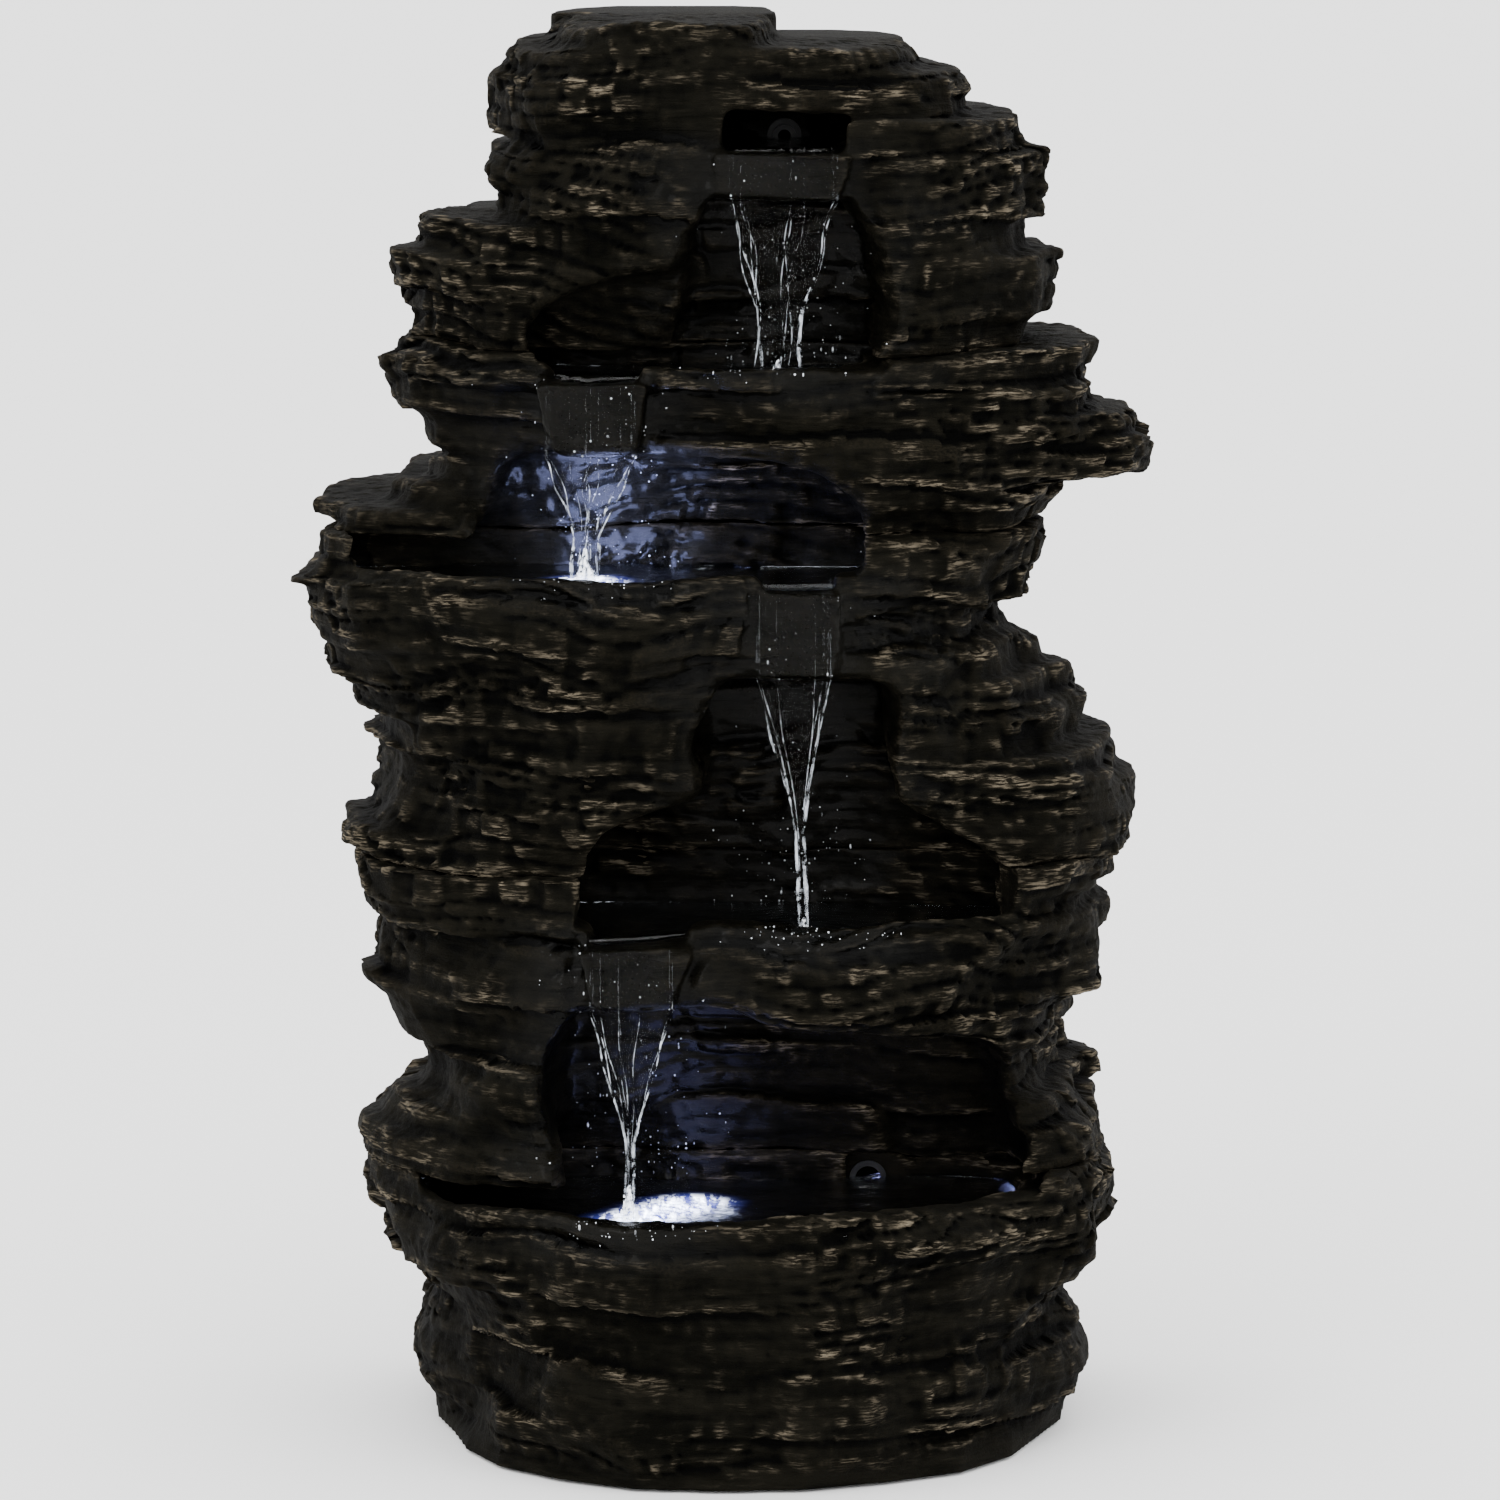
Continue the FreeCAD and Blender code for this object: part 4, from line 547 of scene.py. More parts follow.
rockMaterial = makeRockMaterial()
poolMaterial = makeWaterMaterial("poolWater", 0.010, 0.0012, 1.0)
litPoolMaterial = makeWaterMaterial("litPoolWater", 0.010, 0.0012, 1.0, lit=True)
fallMaterial = makeWaterMaterial("fallingWater", 0.006, 0.0006, 0.25, thin=True)
strandMaterial = makeStrandMaterial()
foamMaterial = makeFoamMaterial("aeratedWater", 0.05)
litFoamMaterial = makeFoamMaterial("litAeratedWater", 2.0)
beadMaterial = makeBeadMaterial()
slotMaterials = {
    "door_plastic": makePlasticMaterial("doorPlastic", (0.0062, 0.0055, 0.0038, 1), 0.6, grain=0.003),
    "nylon": makePlasticMaterial("naturalNylon", (0.55, 0.53, 0.47, 1), 0.42),
    "black_rubber": makeRubberMaterial("blackRubber", (0.004, 0.004, 0.004, 1)),
    "stainless": makeSteelMaterial("stainlessSteel"),
    "magnet": makeSteelMaterial("coatedMagnet", (0.16, 0.16, 0.17, 1)),
    "black_plastic": makePlasticMaterial("blackPlastic", (0.005, 0.005, 0.005, 1), 0.45),
    "pump_plastic": makePlasticMaterial("pumpPlastic", (0.024, 0.026, 0.029, 1), 0.32, coat=0.2),
    "impeller_plastic": makePlasticMaterial("bluePlastic", (0.05, 0.14, 0.36, 1), 0.38),
    "bush_ceramic": makePlasticMaterial("whiteCeramic", (0.82, 0.81, 0.77, 1), 0.16, coat=0.5),
    "sponge": makeSpongeMaterial(),
    "hose_vinyl": makePlasticMaterial("vinylHose", (0.022, 0.025, 0.027, 1), 0.3, coat=0.3),
    "lead_rubber": makeRubberMaterial("leadSheath", (0.014, 0.014, 0.015, 1)),
    "board": makePlasticMaterial("whiteBoard", (0.78, 0.80, 0.78, 1), 0.35),
    "led": makeChipMaterial(),
    "lens": makeLensMaterial(),
}
print("materials made:", len(bpy.data.materials))


# A fall leaves its pool over a lip, runs down the lip's face and drops from its lower edge.
falls = {
    "first": {"x": 0.0435, "front": -0.078, "level": 0.904, "edge": 0.869, "width": 0.076,
              "landX": 0.04, "landY": -0.066, "landLevel": 0.75, "landWidth": 0.034,
              "strands": 9, "lit": False},
    "second": {"x": -0.088, "front": -0.112, "level": 0.75, "edge": 0.697, "width": 0.062,
               "landX": -0.092, "landY": -0.104, "landLevel": 0.611, "landWidth": 0.018,
               "strands": 10, "lit": True},
    "third": {"x": 0.0505, "front": -0.128, "level": 0.611, "edge": 0.548, "width": 0.052,
              "landX": 0.058, "landY": -0.116, "landLevel": 0.371, "landWidth": 0.006,
              "strands": 8, "lit": False},
    "fourth": {"x": -0.06, "front": -0.176, "level": 0.371, "edge": 0.323, "width": 0.058,
               "landX": -0.062, "landY": -0.16, "landLevel": 0.178, "landWidth": 0.006,
               "strands": 8, "lit": True},
}

# Each pool's casting and water level, a point inside it, how far forward its water reaches, and what lands
# in it and lights it.
pools = {
    "bottomPool": {"node": "base_tub", "level": 0.178, "middle": (-0.005, -0.100), "front": -0.215,
                   "fall": "fourth", "light": "pool_light_lens"},
    "lowerPool": {"node": "lower_tier", "level": 0.371, "middle": (0.050, -0.060), "front": -0.174,
                  "fall": "third", "light": None},
    "middlePool": {"node": "middle_tier", "level": 0.611, "middle": (-0.080, -0.060), "front": -0.126,
                   "fall": "second", "light": "tier_light_lens"},
    "upperPool": {"node": "upper_tier", "level": 0.750, "middle": (-0.010, -0.035), "front": -0.110,
                  "fall": "first", "light": None},
    "crownPool": {"node": "crown", "level": 0.904, "middle": (0.045, 0.020), "front": -0.076,
                  "fall": None, "light": None},
}

relief = {
    "voxel": 0.0029, "triangles": 188000, "keepSeen": 0.02,
    "layerHeight": 0.0125, "layerStep": 0.0095, "crackDepth": 0.0030, "layerSize": 0.045, "chipSize": 0.017,
    "chunkHeight": 0.044, "chunkStep": 0.018, "chunkSize": 0.075,
    "waviness": 0.0060, "dip": 0.030, "lift": 0.0050, "warp": 0.011, "wander": 1.5, "grain": 0.0009,
    "backFade": 0.030, "hardwareFade": 0.014, "rounding": 12, "moreRounding": 60, "lipShare": 0.50,
    "bayNear": 0.022, "bayFar": 0.050, "rimNear": 0.024, "rimFar": 0.042, "wetReach": 0.085,
    "sideways": 0.6, "lineBehind": 0.14,
    "bays": ["lower_bay", "lower_bay_niche", "middle_arch", "middle_recess", "upper_recess",
             "crown_bay", "crown_bay_left"],
}
keepFlat = ["access_door", "casting_hinge_leaves", "drain_bush", "gland_nut", "return_port_bush",
            "pool_light_housing", "tier_light_housing", "spout_fitting", "spout_locknut", "foot_pads"]
quietCore = {"halfWidth": 0.172, "front": 0.105}  # inside the back, where hardware is fixed


# The surface of a CAD casting as an even mesh: its triangles merged, then remeshed in cubes of one voxel.
def evenMesh(node, voxel):
    mesh = bpy.data.meshes.new_from_object(frame["nodes"][node])
    work = bmesh.new()
    work.from_mesh(mesh)
    bmesh.ops.remove_doubles(work, verts=work.verts, dist=1e-5)
    work.to_mesh(mesh)
    work.free()
    holder = newObject(node + "Copy", mesh)
    remesh = holder.modifiers.new("even", "REMESH")
    remesh.mode = "VOXEL"
    remesh.voxel_size = voxel
    return modifiedMesh(holder)


# How far each point is outside a box.
def boxGap(points, low, high):
    return np.linalg.norm(np.maximum(np.maximum(low - points, points - high), 0), axis=1)


# Outwards from a line behind the middle, flattened so that it points forwards over most of the front.
def outwards(points):
    away = np.stack([points[:, 0] * relief["sideways"], points[:, 1] - relief["lineBehind"],
                     points[:, 2] * 0], 1)
    return away / np.linalg.norm(away, axis=1, keepdims=True).clip(1e-6)


# Thins the faces that nobody sees: inside the hollow and on the plain back. The front keeps its detail.
def thinInside(mesh):
    inward = -np.sum(outwards(meshPoints(mesh)) * meshNormals(mesh), axis=1)
    unseen = np.maximum(softStep(0.15, 0.45, inward), softStep(0.12, 0.16, meshPoints(mesh)[:, 1]))
    worker = newObject("thinningWorker", mesh)
    group = worker.vertex_groups.new(name="unseen")
    levels = np.round(unseen * 4).astype(int)
    for level in range(5):
        group.add(np.flatnonzero(levels == level).tolist(), max(level / 4, relief["keepSeen"]), "REPLACE")
    triangles = len(mesh.loops) - 2 * len(mesh.polygons)
    thinning = worker.modifiers.new("thinning", "DECIMATE")
    thinning.ratio = min(1.0, relief["triangles"] / triangles)
    thinning.vertex_group = "unseen"
    thinning.vertex_group_factor = 1.0
    thinned = modifiedMesh(worker)
    bpy.data.meshes.remove(mesh)
    return thinned


# How far a point may move: none near the hardware, at the back and under the feet, and all of it elsewhere.
def reliefShare(points):
    share = softStep(cadBounds[1][1] - 0.020, cadBounds[1][1] - 0.020 - relief["backFade"], points[:, 1])
    inside = np.maximum(np.abs(points[:, 0]) - quietCore["halfWidth"], quietCore["front"] - points[:, 1])
    share *= softStep(0, relief["backFade"], inside)
    share *= softStep(0.003, 0.020, points[:, 2])
    for node in keepFlat:
        gap = boxGap(points, *np.array(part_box(node)))
        share *= softStep(0.002, 0.002 + relief["hardwareFade"], gap)
    for fall in falls.values():  # a lip is worn smooth
        aside = np.abs(points[:, 0] - fall["x"]) - fall["width"] * 0.66
        below = np.maximum(fall["edge"] - 0.012 - points[:, 2], points[:, 2] - fall["level"] - 0.012)
        behind = points[:, 1] - fall["front"] - 0.035
        outside = softStep(0.0, 0.016, np.maximum(np.maximum(aside, below), behind))
        share *= relief["lipShare"] + (1 - relief["lipShare"]) * outside
    return share


# How far the rock stands out at each point. Height, dipped and waved, is cut into uneven layers and thicker
# chunks, and each one takes its own outline from noise. A layer's edges draw in, which leaves cracks.
def layeredRelief(points):
    wave = relief["waviness"] * fractalNoise(points * (11, 11, 3), 2, seed=3)
    height = points[:, 2] + relief["dip"] * points[:, 0] + wave
    thin = height / relief["layerHeight"] + relief["wander"] * fractalNoise(points * (7, 7, 5), 2, seed=8)
    thin = thin + 2.1 * smoothNoise(np.stack([thin / 2.7, thin * 0, thin * 0], 1), 7)
    thick = height / relief["chunkHeight"]
    thick = thick + 1.1 * smoothNoise(np.stack([thick / 2.9, thick * 0, thick * 0], 1), 11)
    layer, chunk = np.floor(thin), np.floor(thick)
    across = points[:, :2].T
    outline = smoothNoise(np.stack([*across / relief["layerSize"], layer * 5 + 0.5], 1), 21)
    chips = smoothNoise(np.stack([*across / relief["chipSize"], layer * 3 + 0.5], 1), 22)
    block = smoothNoise(np.stack([*across / relief["chunkSize"], chunk * 4 + 0.5], 1), 23)
    edge = np.abs(2 * (thin - layer) - 1) ** 7
    bold = 0.35 + 1.1 * softStep(0.35, 0.65, smoothNoise(points * (11, 11, 17), 9))
    out = relief["layerStep"] * (0.70 * outline + 0.30 * softStep(0.42, 0.58, chips) - 0.45) * bold
    out += relief["chunkStep"] * (softStep(0.25, 0.75, block) - 0.45)
    return out - relief["crackDepth"] * edge * bold


# 1 on the rock that water runs over or splashes, falling to 0 beside it.
def wetness(points):
    patchy = 0.35 * fractalNoise(points * 28, 2, seed=41)
    wet = np.zeros(len(points))
    for fall in falls.values():
        aside = np.abs(points[:, 0] - fall["x"]) / relief["wetReach"]
        above = softStep(fall["level"] + 0.02, fall["level"] - 0.01, points[:, 2])
        below = softStep(fall["landLevel"] - 0.03, fall["landLevel"], points[:, 2])
        near = softStep(0.13, 0.05, points[:, 1])
        wet = np.maximum(wet, np.clip(1.25 - aside + patchy, 0, 1) * above * below * near)
    return np.clip(wet, 0, 1)


# 1 near the bays in the front, whose edges are worn round, but 0 at the thin rims round the pools.
def bayShare(points):
    share = np.zeros(len(points))
    for opening in frame["record"]["physics"]["openings"]:
        if opening["name"] in relief["bays"]:
            gap = boxGap(points, *np.array(opening["box_m"]))
            share = np.maximum(share, softStep(relief["bayFar"], relief["bayNear"], gap))
    off = np.min([np.abs(points[:, 2] - pool["level"]) for pool in pools.values()], axis=0)
    return share * (1 - softStep(relief["rimFar"], relief["rimNear"], off))


# The heights where one casting stands on another; their edges there stay sharp, so that the seams close.
jointLevels = [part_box(node)[0][2] for node in ("lower_tier", "middle_tier", "upper_tier", "crown")]


def makeRock(node):
    mesh = thinInside(evenMesh(node, relief["voxel"]))
    points, edges = meshPoints(mesh), meshEdges(mesh)
    share = reliefShare(points)
    joined = np.min([np.abs(points[:, 2] - level) for level in jointLevels], axis=0)
    worn = share * softStep(0.002, 0.012, joined)
    bays = bayShare(points)
    for turn in range(relief["rounding"] + relief["moreRounding"]):
        amount = worn if turn < relief["rounding"] else worn * bays
        points += (neighbourMean(edges, points) - points) * 0.5 * amount[:, None]
    base = points.copy()
    lift = relief["lift"] * fractalNoise(base * (8, 8, 5), 2, seed=5)
    aside = relief["warp"] * fractalNoise(base * (9, 9, 15), 2, seed=6)
    points += outwards(base) * (layeredRelief(base) * share)[:, None]
    points[:, 0] += aside * share
    points[:, 2] += lift * share * softStep(0.0, 0.04, base[:, 2])
    setPoints(mesh, points)
    grain = fractalNoise(points * 140, 2, seed=31) * relief["grain"]
    points += meshNormals(mesh) * (grain * share)[:, None]
    setPoints(mesh, points)
    normals = meshNormals(mesh)
    # How raised the surface is: the rock material brushes tan on ridges and puts painted shade in the
    # hollows from it.
    raised = -np.sum((neighbourMean(edges, points) - points) * normals, axis=1) / relief["voxel"]
    for _ in range(3):
        raised = 0.5 * raised + 0.5 * neighbourMean(edges, raised)
    raised *= 4 * np.maximum(share, 0.2)
    wet = wetness(points)
    addValues(mesh, "raised", raised)
    addValues(mesh, "wet", wet)
    words = node.split("_")
    name = words[0] + "".join(word.capitalize() for word in words[1:]) + "Rock"
    piece = newPiece(name, mesh)
    mesh.materials.clear()
    mesh.materials.append(rockMaterial)
    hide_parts(node)
    print(name, len(mesh.polygons), "faces")
    return points, normals, wet


rocks = {node: makeRock(node) for node in ("base_tub", "lower_tier", "middle_tier", "upper_tier", "crown")}
rockPoints, rockNormals, rockWet = (np.concatenate(parts) for parts in zip(*rocks.values()))

poolGrid = {"spokes": 160, "rings": 64, "under": 8, "depth": 0.004, "intoRock": 0.004,
            "wave": 0.0011, "waveLength": 0.0095, "waveReach": 0.045, "chop": 0.0005,
            "levelBand": 0.003, "glowReach": 0.024, "mostReach": 1.12}


# How far the rock is from a pool's middle at its water level: the nearest point in each of the even
# directions, filled in across the gap over the lip, and cut off at the lip's front.
def basinEdge(points, pool):
    spokes = poolGrid["spokes"]
    near = points[np.abs(points[:, 2] - pool["level"]) < poolGrid["levelBand"]]
    away = near[:, :2] - np.array(pool["middle"])
    turn = np.arctan2(away[:, 1], away[:, 0]) / (2 * np.pi) % 1
    reach = np.full(spokes, np.inf)
    np.minimum.at(reach, np.floor(turn * spokes).astype(int) % spokes, np.hypot(away[:, 0], away[:, 1]))
    known = np.flatnonzero(np.isfinite(reach))
    reach = np.interp(np.arange(spokes), known, reach[known], period=spokes)
    around = np.stack([np.roll(reach, turned) for turned in range(-6, 7)])
    reach = np.minimum(reach, poolGrid["mostReach"] * np.median(around, axis=0))  # not into a port
    angle = 2 * np.pi * (np.arange(spokes) + 0.5) / spokes
    toFront = (pool["front"] - pool["middle"][1]) / np.minimum(np.sin(angle), -1e-3)
    return angle, np.minimum(reach + poolGrid["intoRock"], np.where(np.sin(angle) < 0, toFront, np.inf))


# A pool's water: rings from its middle out to the basin's edge, then back under it. Its height is the
# level plus rings of waves that die away from where the fall lands, and a little chop.
def makePool(name, pool):
    angle, reach = basinEdge(rocks[pool["node"]][0], pool)
    out = np.linspace(0, 1, poolGrid["rings"])
    share = np.concatenate([out, np.linspace(1, 0, poolGrid["under"])])[:, None]
    x = pool["middle"][0] + share * reach * np.cos(angle)
    y = pool["middle"][1] + share * reach * np.sin(angle)
    above = np.concatenate([np.ones(poolGrid["rings"]), np.zeros(poolGrid["under"])])[:, None]
    flat = np.stack([x.ravel(), y.ravel(), np.zeros(x.size)], 1)
    height = poolGrid["chop"] * fractalNoise(flat * 70, 2, seed=51).reshape(x.shape)
    glow = np.zeros(x.shape)
    if pool["fall"]:
        fall = falls[pool["fall"]]
        away = np.hypot(x - fall["landX"], y - fall["landY"])
        height += poolGrid["wave"] * np.cos(2 * np.pi * away / poolGrid["waveLength"]) * np.exp(
            -away / poolGrid["waveReach"])
        # The attribute glow marks where painted light shows on the water: a band from where the fall lands
        # towards the lamp.
        if pool["light"]:
            lamp = sum(np.array(corner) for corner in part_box(pool["light"])) / 2
            along = np.array([lamp[0] - fall["landX"], lamp[1] - fall["landY"]])
            part = np.clip(((x - fall["landX"]) * along[0] + (y - fall["landY"]) * along[1])
                           / max(along @ along, 1e-6), 0, 1)
            off = np.hypot(x - fall["landX"] - part * along[0], y - fall["landY"] - part * along[1])
            glow = np.exp(-(off / poolGrid["glowReach"]) ** 2)
    z = pool["level"] + height * above - poolGrid["depth"] * (1 - above)
    mesh = meshFrom(name, np.stack([x, y, z], -1), gridQuads(len(share), poolGrid["spokes"]))
    addValues(mesh, "glow", glow.ravel())
    mesh.materials.append(litPoolMaterial if pool["light"] else poolMaterial)
    newPiece(name, recalculated(mesh))


for name, pool in pools.items():
    makePool(name, pool)
print("pools made")


# The rock's front: the foremost rock in each cell of a grid over width and height, and its lookup.
frontGrid = {"cell": 0.004, "left": -0.34, "columns": 170, "rows": 260}


def frontMap(points):
    cell = frontGrid["cell"]
    front = np.full((frontGrid["columns"], frontGrid["rows"]), 0.3)
    column = np.clip(((points[:, 0] - frontGrid["left"]) / cell).astype(int), 0, frontGrid["columns"] - 1)
    row = np.clip((points[:, 2] / cell).astype(int), 0, frontGrid["rows"] - 1)
    np.minimum.at(front, (column, row), points[:, 1])
    return front


rockFront = frontMap(rockPoints)


def frontAt(x, z):
    cell = frontGrid["cell"]
    column = np.clip(((x - frontGrid["left"]) / cell).astype(int), 1, frontGrid["columns"] - 2)
    row = np.clip((z / cell).astype(int), 1, frontGrid["rows"] - 2)
    return np.minimum.reduce([rockFront[column + i, row + j] for i in (-1, 0, 1) for j in (0, 1)])


fallShape = {"overLip": 6, "downFace": 26, "freeRows": 60, "around": 40, "film": 0.0007, "rope": 0.0012,
             "offRock": 0.0012, "narrowing": 0.62, "strandAround": 8, "strandRadius": 0.00068,
             "weave": 0.13, "weaveTurns": 1.1, "onFace": 0.05, "handOver": 0.25, "dropPower": 1.2,
             "narrowPower": 0.85}


# A fall's middle line, width and share of the free drop at each row: back over the lip, down its face,
# then a drop in which the width narrows as the share raised to a power.
def fallRows(fall):
    over, face, free = fallShape["overLip"], fallShape["downFace"], fallShape["freeRows"]
    drop = np.concatenate([np.zeros(over + face), np.linspace(0, 1, free + 1)[1:]])
    z = np.concatenate([np.full(over, fall["level"] + 0.0006),
                        np.linspace(fall["level"] - 0.0015, fall["edge"], face),
                        fall["edge"] + (fall["landLevel"] - fall["edge"]) * np.linspace(0, 1, free + 1)[1:]])
    y = fall["front"] + np.concatenate([np.linspace(0.026, 0.002, over), np.zeros(face + free)])
    y += (fall["landY"] - fall["front"]) * drop ** fallShape["dropPower"]
    x = fall["x"] + (fall["landX"] - fall["x"]) * drop
    narrow = np.minimum(drop / fallShape["narrowing"], 1) ** fallShape["narrowPower"]
    width = fall["width"] + (fall["landWidth"] - fall["width"]) * narrow
    return x, y, z, width, drop


# The sheet: a flattened tube whose half thickness is a film's, thicker in a rope along each edge.
def makeSheet(name, fall):
    x, y, z, width, drop = (row[:, None] for row in fallRows(fall))
    around = 2 * np.pi * np.arange(fallShape["around"]) / fallShape["around"]
    across, side = np.cos(around), np.sin(around)
    ripple = gridNoise(across * 5, z * 18, side * 2, 2, 61)
    thick = (fallShape["film"] + fallShape["rope"] * np.abs(across) ** 6) * (1 + 0.5 * ripple)
    px = x + across * width / 2
    onFace = (z <= fall["level"]) & (drop <= 0)
    py = np.where(onFace, np.minimum(y, frontAt(px, z + 0 * px) - fallShape["offRock"]), y + 0 * px)
    handOver = np.clip(drop / fallShape["handOver"], 0, 1)
    lastFace = py[fallShape["overLip"] + fallShape["downFace"] - 1]
    py = np.where(drop > 0, lastFace * (1 - handOver) + py * handOver, py)
    py = py + side * thick * np.where(onFace | (drop > 0), 1, 0.15)
    pz = z + np.where(onFace | (drop > 0), 0, side * thick)
    mesh = meshFrom(name, np.stack(np.broadcast_arrays(px, py, pz), -1),
                    gridQuads(len(z), fallShape["around"]))
    cappedEnds(mesh)
    addValues(mesh, "broken", (np.clip(drop * 8, fallShape["onFace"], 1) + 0 * px).ravel())
    mesh.materials.append(fallMaterial)
    newPiece(name, recalculated(mesh))


# The strands: tubes that start across the lip and draw together, weaving a little, with uneven thickness.
def makeStrands(name, fall, seed):
    draw = np.random.default_rng(seed)
    count = fall["strands"]
    x, y, z, width, drop = (row[None, fallShape["overLip"]:] for row in fallRows(fall))
    place = np.concatenate([[-0.97, -0.9, 0.9, 0.97], draw.uniform(-0.8, 0.8, count - 4)])[:, None]
    main = np.where(np.abs(place) > 0.85, 1.0, 0.55)
    phase = draw.uniform(0, 1, count)[:, None]
    turns = fallShape["weaveTurns"] * draw.uniform(0.6, 1.6, count)[:, None]
    sway = np.sin(2 * np.pi * (turns * drop + phase))
    across = place + fallShape["weave"] * sway * np.minimum(drop * 4, 1)
    px = x + across * width / 2
    face = frontAt(px, z + 0 * px) - 1.5 * fallShape["offRock"]
    py = np.where(drop > 0, y, np.minimum(y, face))
    last = py[:, fallShape["downFace"] - 1][:, None]
    handOver = np.clip(drop / fallShape["handOver"], 0, 1)
    py = np.where(drop > 0, last * (1 - handOver) + py * handOver - 0.001, py)
    lumps = gridNoise(place * 9, z * 95, phase * 7, 2, seed)
    ends = np.clip(np.minimum(drop + (drop <= 0) * np.linspace(0, 1, drop.size), 1), 0.02, 1) ** 0.3
    radius = fallShape["strandRadius"] * (1 + 0.8 * lumps) * ends * main
    radius = radius * draw.uniform(0.7, 1.4, count)[:, None]
    radius = np.clip(radius, 0.00015, 0.003)
    around = 2 * np.pi * np.arange(fallShape["strandAround"]) / fallShape["strandAround"]
    points = np.stack(np.broadcast_arrays(px[..., None] + radius[..., None] * np.cos(around),
                                          py[..., None] + radius[..., None] * np.sin(around),
                                          (z + 0 * px)[..., None]), -1)
    quads = gridQuads(px.shape[1], fallShape["strandAround"])
    size = px.shape[1] * fallShape["strandAround"]
    mesh = meshFrom(name, points, (quads + size * np.arange(count)[:, None, None]).reshape(-1, 4))
    seen = np.where(drop > 0, main, fallShape["onFace"]) * np.clip(0.8 + 1.2 * lumps, 0.1, 1.3)
    addValues(mesh, "broken", np.repeat(seen.ravel(), fallShape["strandAround"]))
    cappedEnds(mesh)
    mesh.materials.append(strandMaterial)
    newPiece(name, recalculated(mesh))


splashShape = {"rings": 22, "spokes": 64, "height": 0.008, "radius": 0.011, "jag": 1.6, "rim": 0.002,
               "litSize": (1.1, 1.3), "plainSize": (0.9, 0.6)}


# The splash where a fall lands: a mound whose height falls off with distance as a bell, made ragged by
# noise, closed underneath.
def makeSplash(name, fall):
    angle = 2 * np.pi * np.arange(splashShape["spokes"]) / splashShape["spokes"]
    out = np.linspace(0, 1, splashShape["rings"])
    share = np.concatenate([out, [0.5, 0.0]])[:, None]
    wide, tall = splashShape["litSize" if fall["lit"] else "plainSize"]
    ragged = gridNoise(share * np.cos(angle) * 5, share * np.sin(angle) * 5, share, 3, 71)
    radius = share * (splashShape["radius"] * wide) * (1 + 0.5 * ragged)
    height = splashShape["height"] * tall * np.exp(-(share * 2.3) ** 2)
    height = height * (1 + splashShape["jag"] * ragged) - 0.001
    height[splashShape["rings"]:] = -splashShape["rim"]
    points = np.stack([fall["landX"] + radius * np.cos(angle), fall["landY"] + radius * np.sin(angle),
                       fall["landLevel"] + height], -1)
    mesh = meshFrom(name, points, gridQuads(len(share), splashShape["spokes"]))
    mesh.materials.append(litFoamMaterial if fall["lit"] else foamMaterial)
    newPiece(name, recalculated(mesh))


for number, (name, fall) in enumerate(falls.items()):
    makeSheet(name + "FallSheet", fall)
    makeStrands(name + "FallStrands", fall, 80 + number)
    makeSplash(name + "FallSplash", fall)
print("falls made")


beadShape = {"count": 620, "smallest": 0.00035, "largest": 0.00095, "facing": -0.2,
             "splashTop": 0.10, "splashHeight": 0.03, "splashWidth": 0.06, "elsewhere": 0.12}


# Beads of water: icosahedra scattered over the wet rock that faces forwards, thickest where it is wettest
# and low down near where a fall lands, a few of them drawn out downwards.
def makeBeads():
    golden = (1 + 5 ** 0.5) / 2
    corners = np.array([(0, a, b * golden) for a in (-1, 1) for b in (-1, 1)])
    corners = np.concatenate([corners, corners[:, [1, 2, 0]], corners[:, [2, 0, 1]]]) / np.hypot(1, golden)
    work = bmesh.new()
    bmesh.ops.convex_hull(work, input=[work.verts.new(corner) for corner in corners])
    work.verts.index_update()
    triangles = np.array([[vert.index for vert in face.verts] for face in work.faces])
    work.free()
    draw = np.random.default_rng(91)
    weight = rockWet ** 3 * (rockNormals[:, 1] < beadShape["facing"])
    splashed = np.zeros(len(rockPoints))
    for fall in falls.values():
        rise = rockPoints[:, 2] - fall["landLevel"]
        aside = np.abs(rockPoints[:, 0] - fall["landX"])
        near = np.exp(-rise / beadShape["splashHeight"]) * np.exp(-(aside / beadShape["splashWidth"]) ** 2)
        splashed += np.where((rise > 0) & (rise < beadShape["splashTop"]), near, 0)
    weight *= beadShape["elsewhere"] + splashed
    chosen = draw.choice(len(weight), beadShape["count"], replace=False, p=weight / weight.sum())
    spread = beadShape["largest"] - beadShape["smallest"]
    size = beadShape["smallest"] + spread * draw.random(beadShape["count"]) ** 2.5
    drawnOut = draw.choice([1.0, 1.2, 2.6], beadShape["count"], p=[0.6, 0.3, 0.1])
    stretch = np.stack([size, size, size * drawnOut], 1)
    middle = rockPoints[chosen] + rockNormals[chosen] * size[:, None] * 0.5
    points = middle[:, None] + corners * stretch[:, None]
    faces = (triangles + len(corners) * np.arange(beadShape["count"])[:, None, None]).reshape(-1, 3)
    mesh = meshFrom("waterBeads", points, faces)
    mesh.materials.append(beadMaterial)
    newPiece("waterBeads", recalculated(mesh, merge=1e-9))


makeBeads()
print("beads made")


slotOf = {entry["node"]: entry["material_slot"] for entry in frame["record"]["subparts"]}
for node, piece in frame["nodes"].items():
    if slotOf[node] in slotMaterials:
        for place in piece.material_slots:
            place.material = slotMaterials[slotOf[node]]
print("CAD pieces finished")


stageSetting = {"floor": (0.92, 0.92, 0.92, 1), "size": 160.0, "world": 2.7}


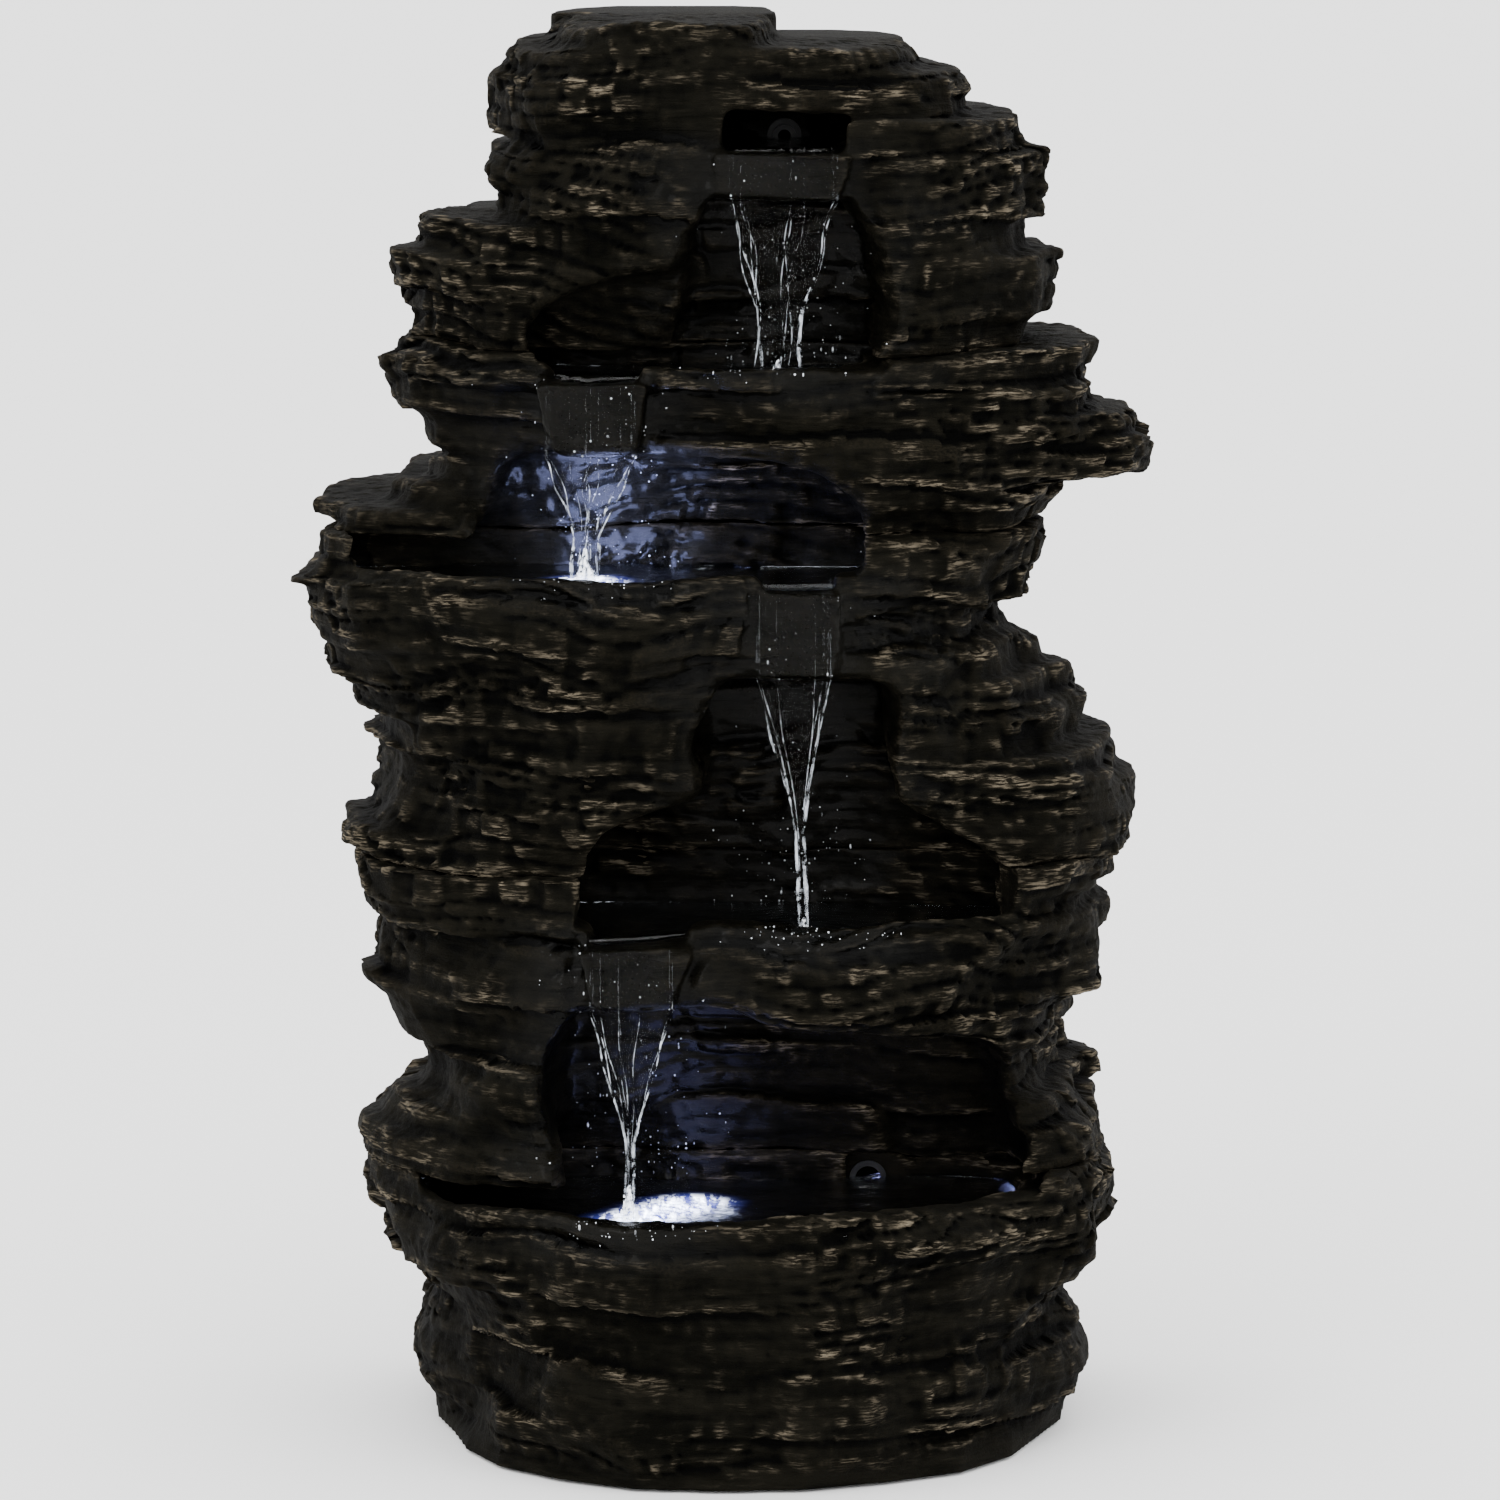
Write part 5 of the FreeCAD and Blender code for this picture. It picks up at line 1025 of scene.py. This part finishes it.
def makeStage():
    mesh = bpy.data.meshes.new("floor")
    half = stageSetting["size"] / 2
    corners = [(-half, -half, 0), (half, -half, 0), (half, half, 0), (-half, half, 0)]
    mesh.from_pydata(corners, [], [(0, 1, 2, 3)])
    floor = newObject("floor", mesh)
    material, tree, shader, where = newMaterial("paleFloor")
    setInputs(shader, {"Base Color": stageSetting["floor"], "Roughness": 0.9})
    mesh.materials.append(material)
    world = bpy.data.worlds.new("softStudio")
    world.use_nodes = True
    background = world.node_tree.nodes["Background"]
    setInputs(background, {"Color": (1, 1, 1, 1), "Strength": stageSetting["world"]})
    bpy.context.scene.world = world


lightSetting = {
    "keySoftbox": {"place": (-1.8, -2.6, 2.6), "target": (0, 0, 0.5), "energy": 60, "size": 1.8},
    "fillSoftbox": {"place": (2.4, -2.2, 1.6), "target": (0, 0, 0.5), "energy": 25, "size": 2.2},
    "tierLightGlow": {"place": (-0.080, -0.070, 0.6245), "target": (-0.030, 0.0, 0.690),
                      "energy": 1.0, "size": 0.05, "colour": (0.44, 0.50, 1.0)},
    "poolLightGlow": {"place": (-0.015, -0.110, 0.190), "target": (0.02, -0.02, 0.270),
                      "energy": 0.26, "size": 0.08, "colour": (0.40, 0.42, 1.0)},
}


def addLight(name, place, target, energy, size, colour=(1, 1, 1)):
    data = bpy.data.lights.new(name, "AREA")
    data.energy = energy
    data.color = colour
    data.size = size
    light = newObject(name, data)
    light.location = place
    light.rotation_euler = (Vector(target) - Vector(place)).to_track_quat("-Z", "Y").to_euler()


cameraSetting = {"place": (0.0208, -5.2, 1.25), "target": (0.0208, 0.0, 0.480),
                 "lens": 180.0, "sensor": 36.0}


def makeCamera():
    data = bpy.data.cameras.new("camera")
    data.lens = cameraSetting["lens"]
    data.sensor_width = cameraSetting["sensor"]
    camera = newObject("camera", data)
    camera.location = cameraSetting["place"]
    aim = Vector(cameraSetting["target"]) - Vector(cameraSetting["place"])
    camera.rotation_euler = aim.to_track_quat("-Z", "Y").to_euler()
    bpy.context.scene.camera = camera


makeStage()
for name, light in lightSetting.items():
    addLight(name, **light)
makeCamera()
print("stage made")
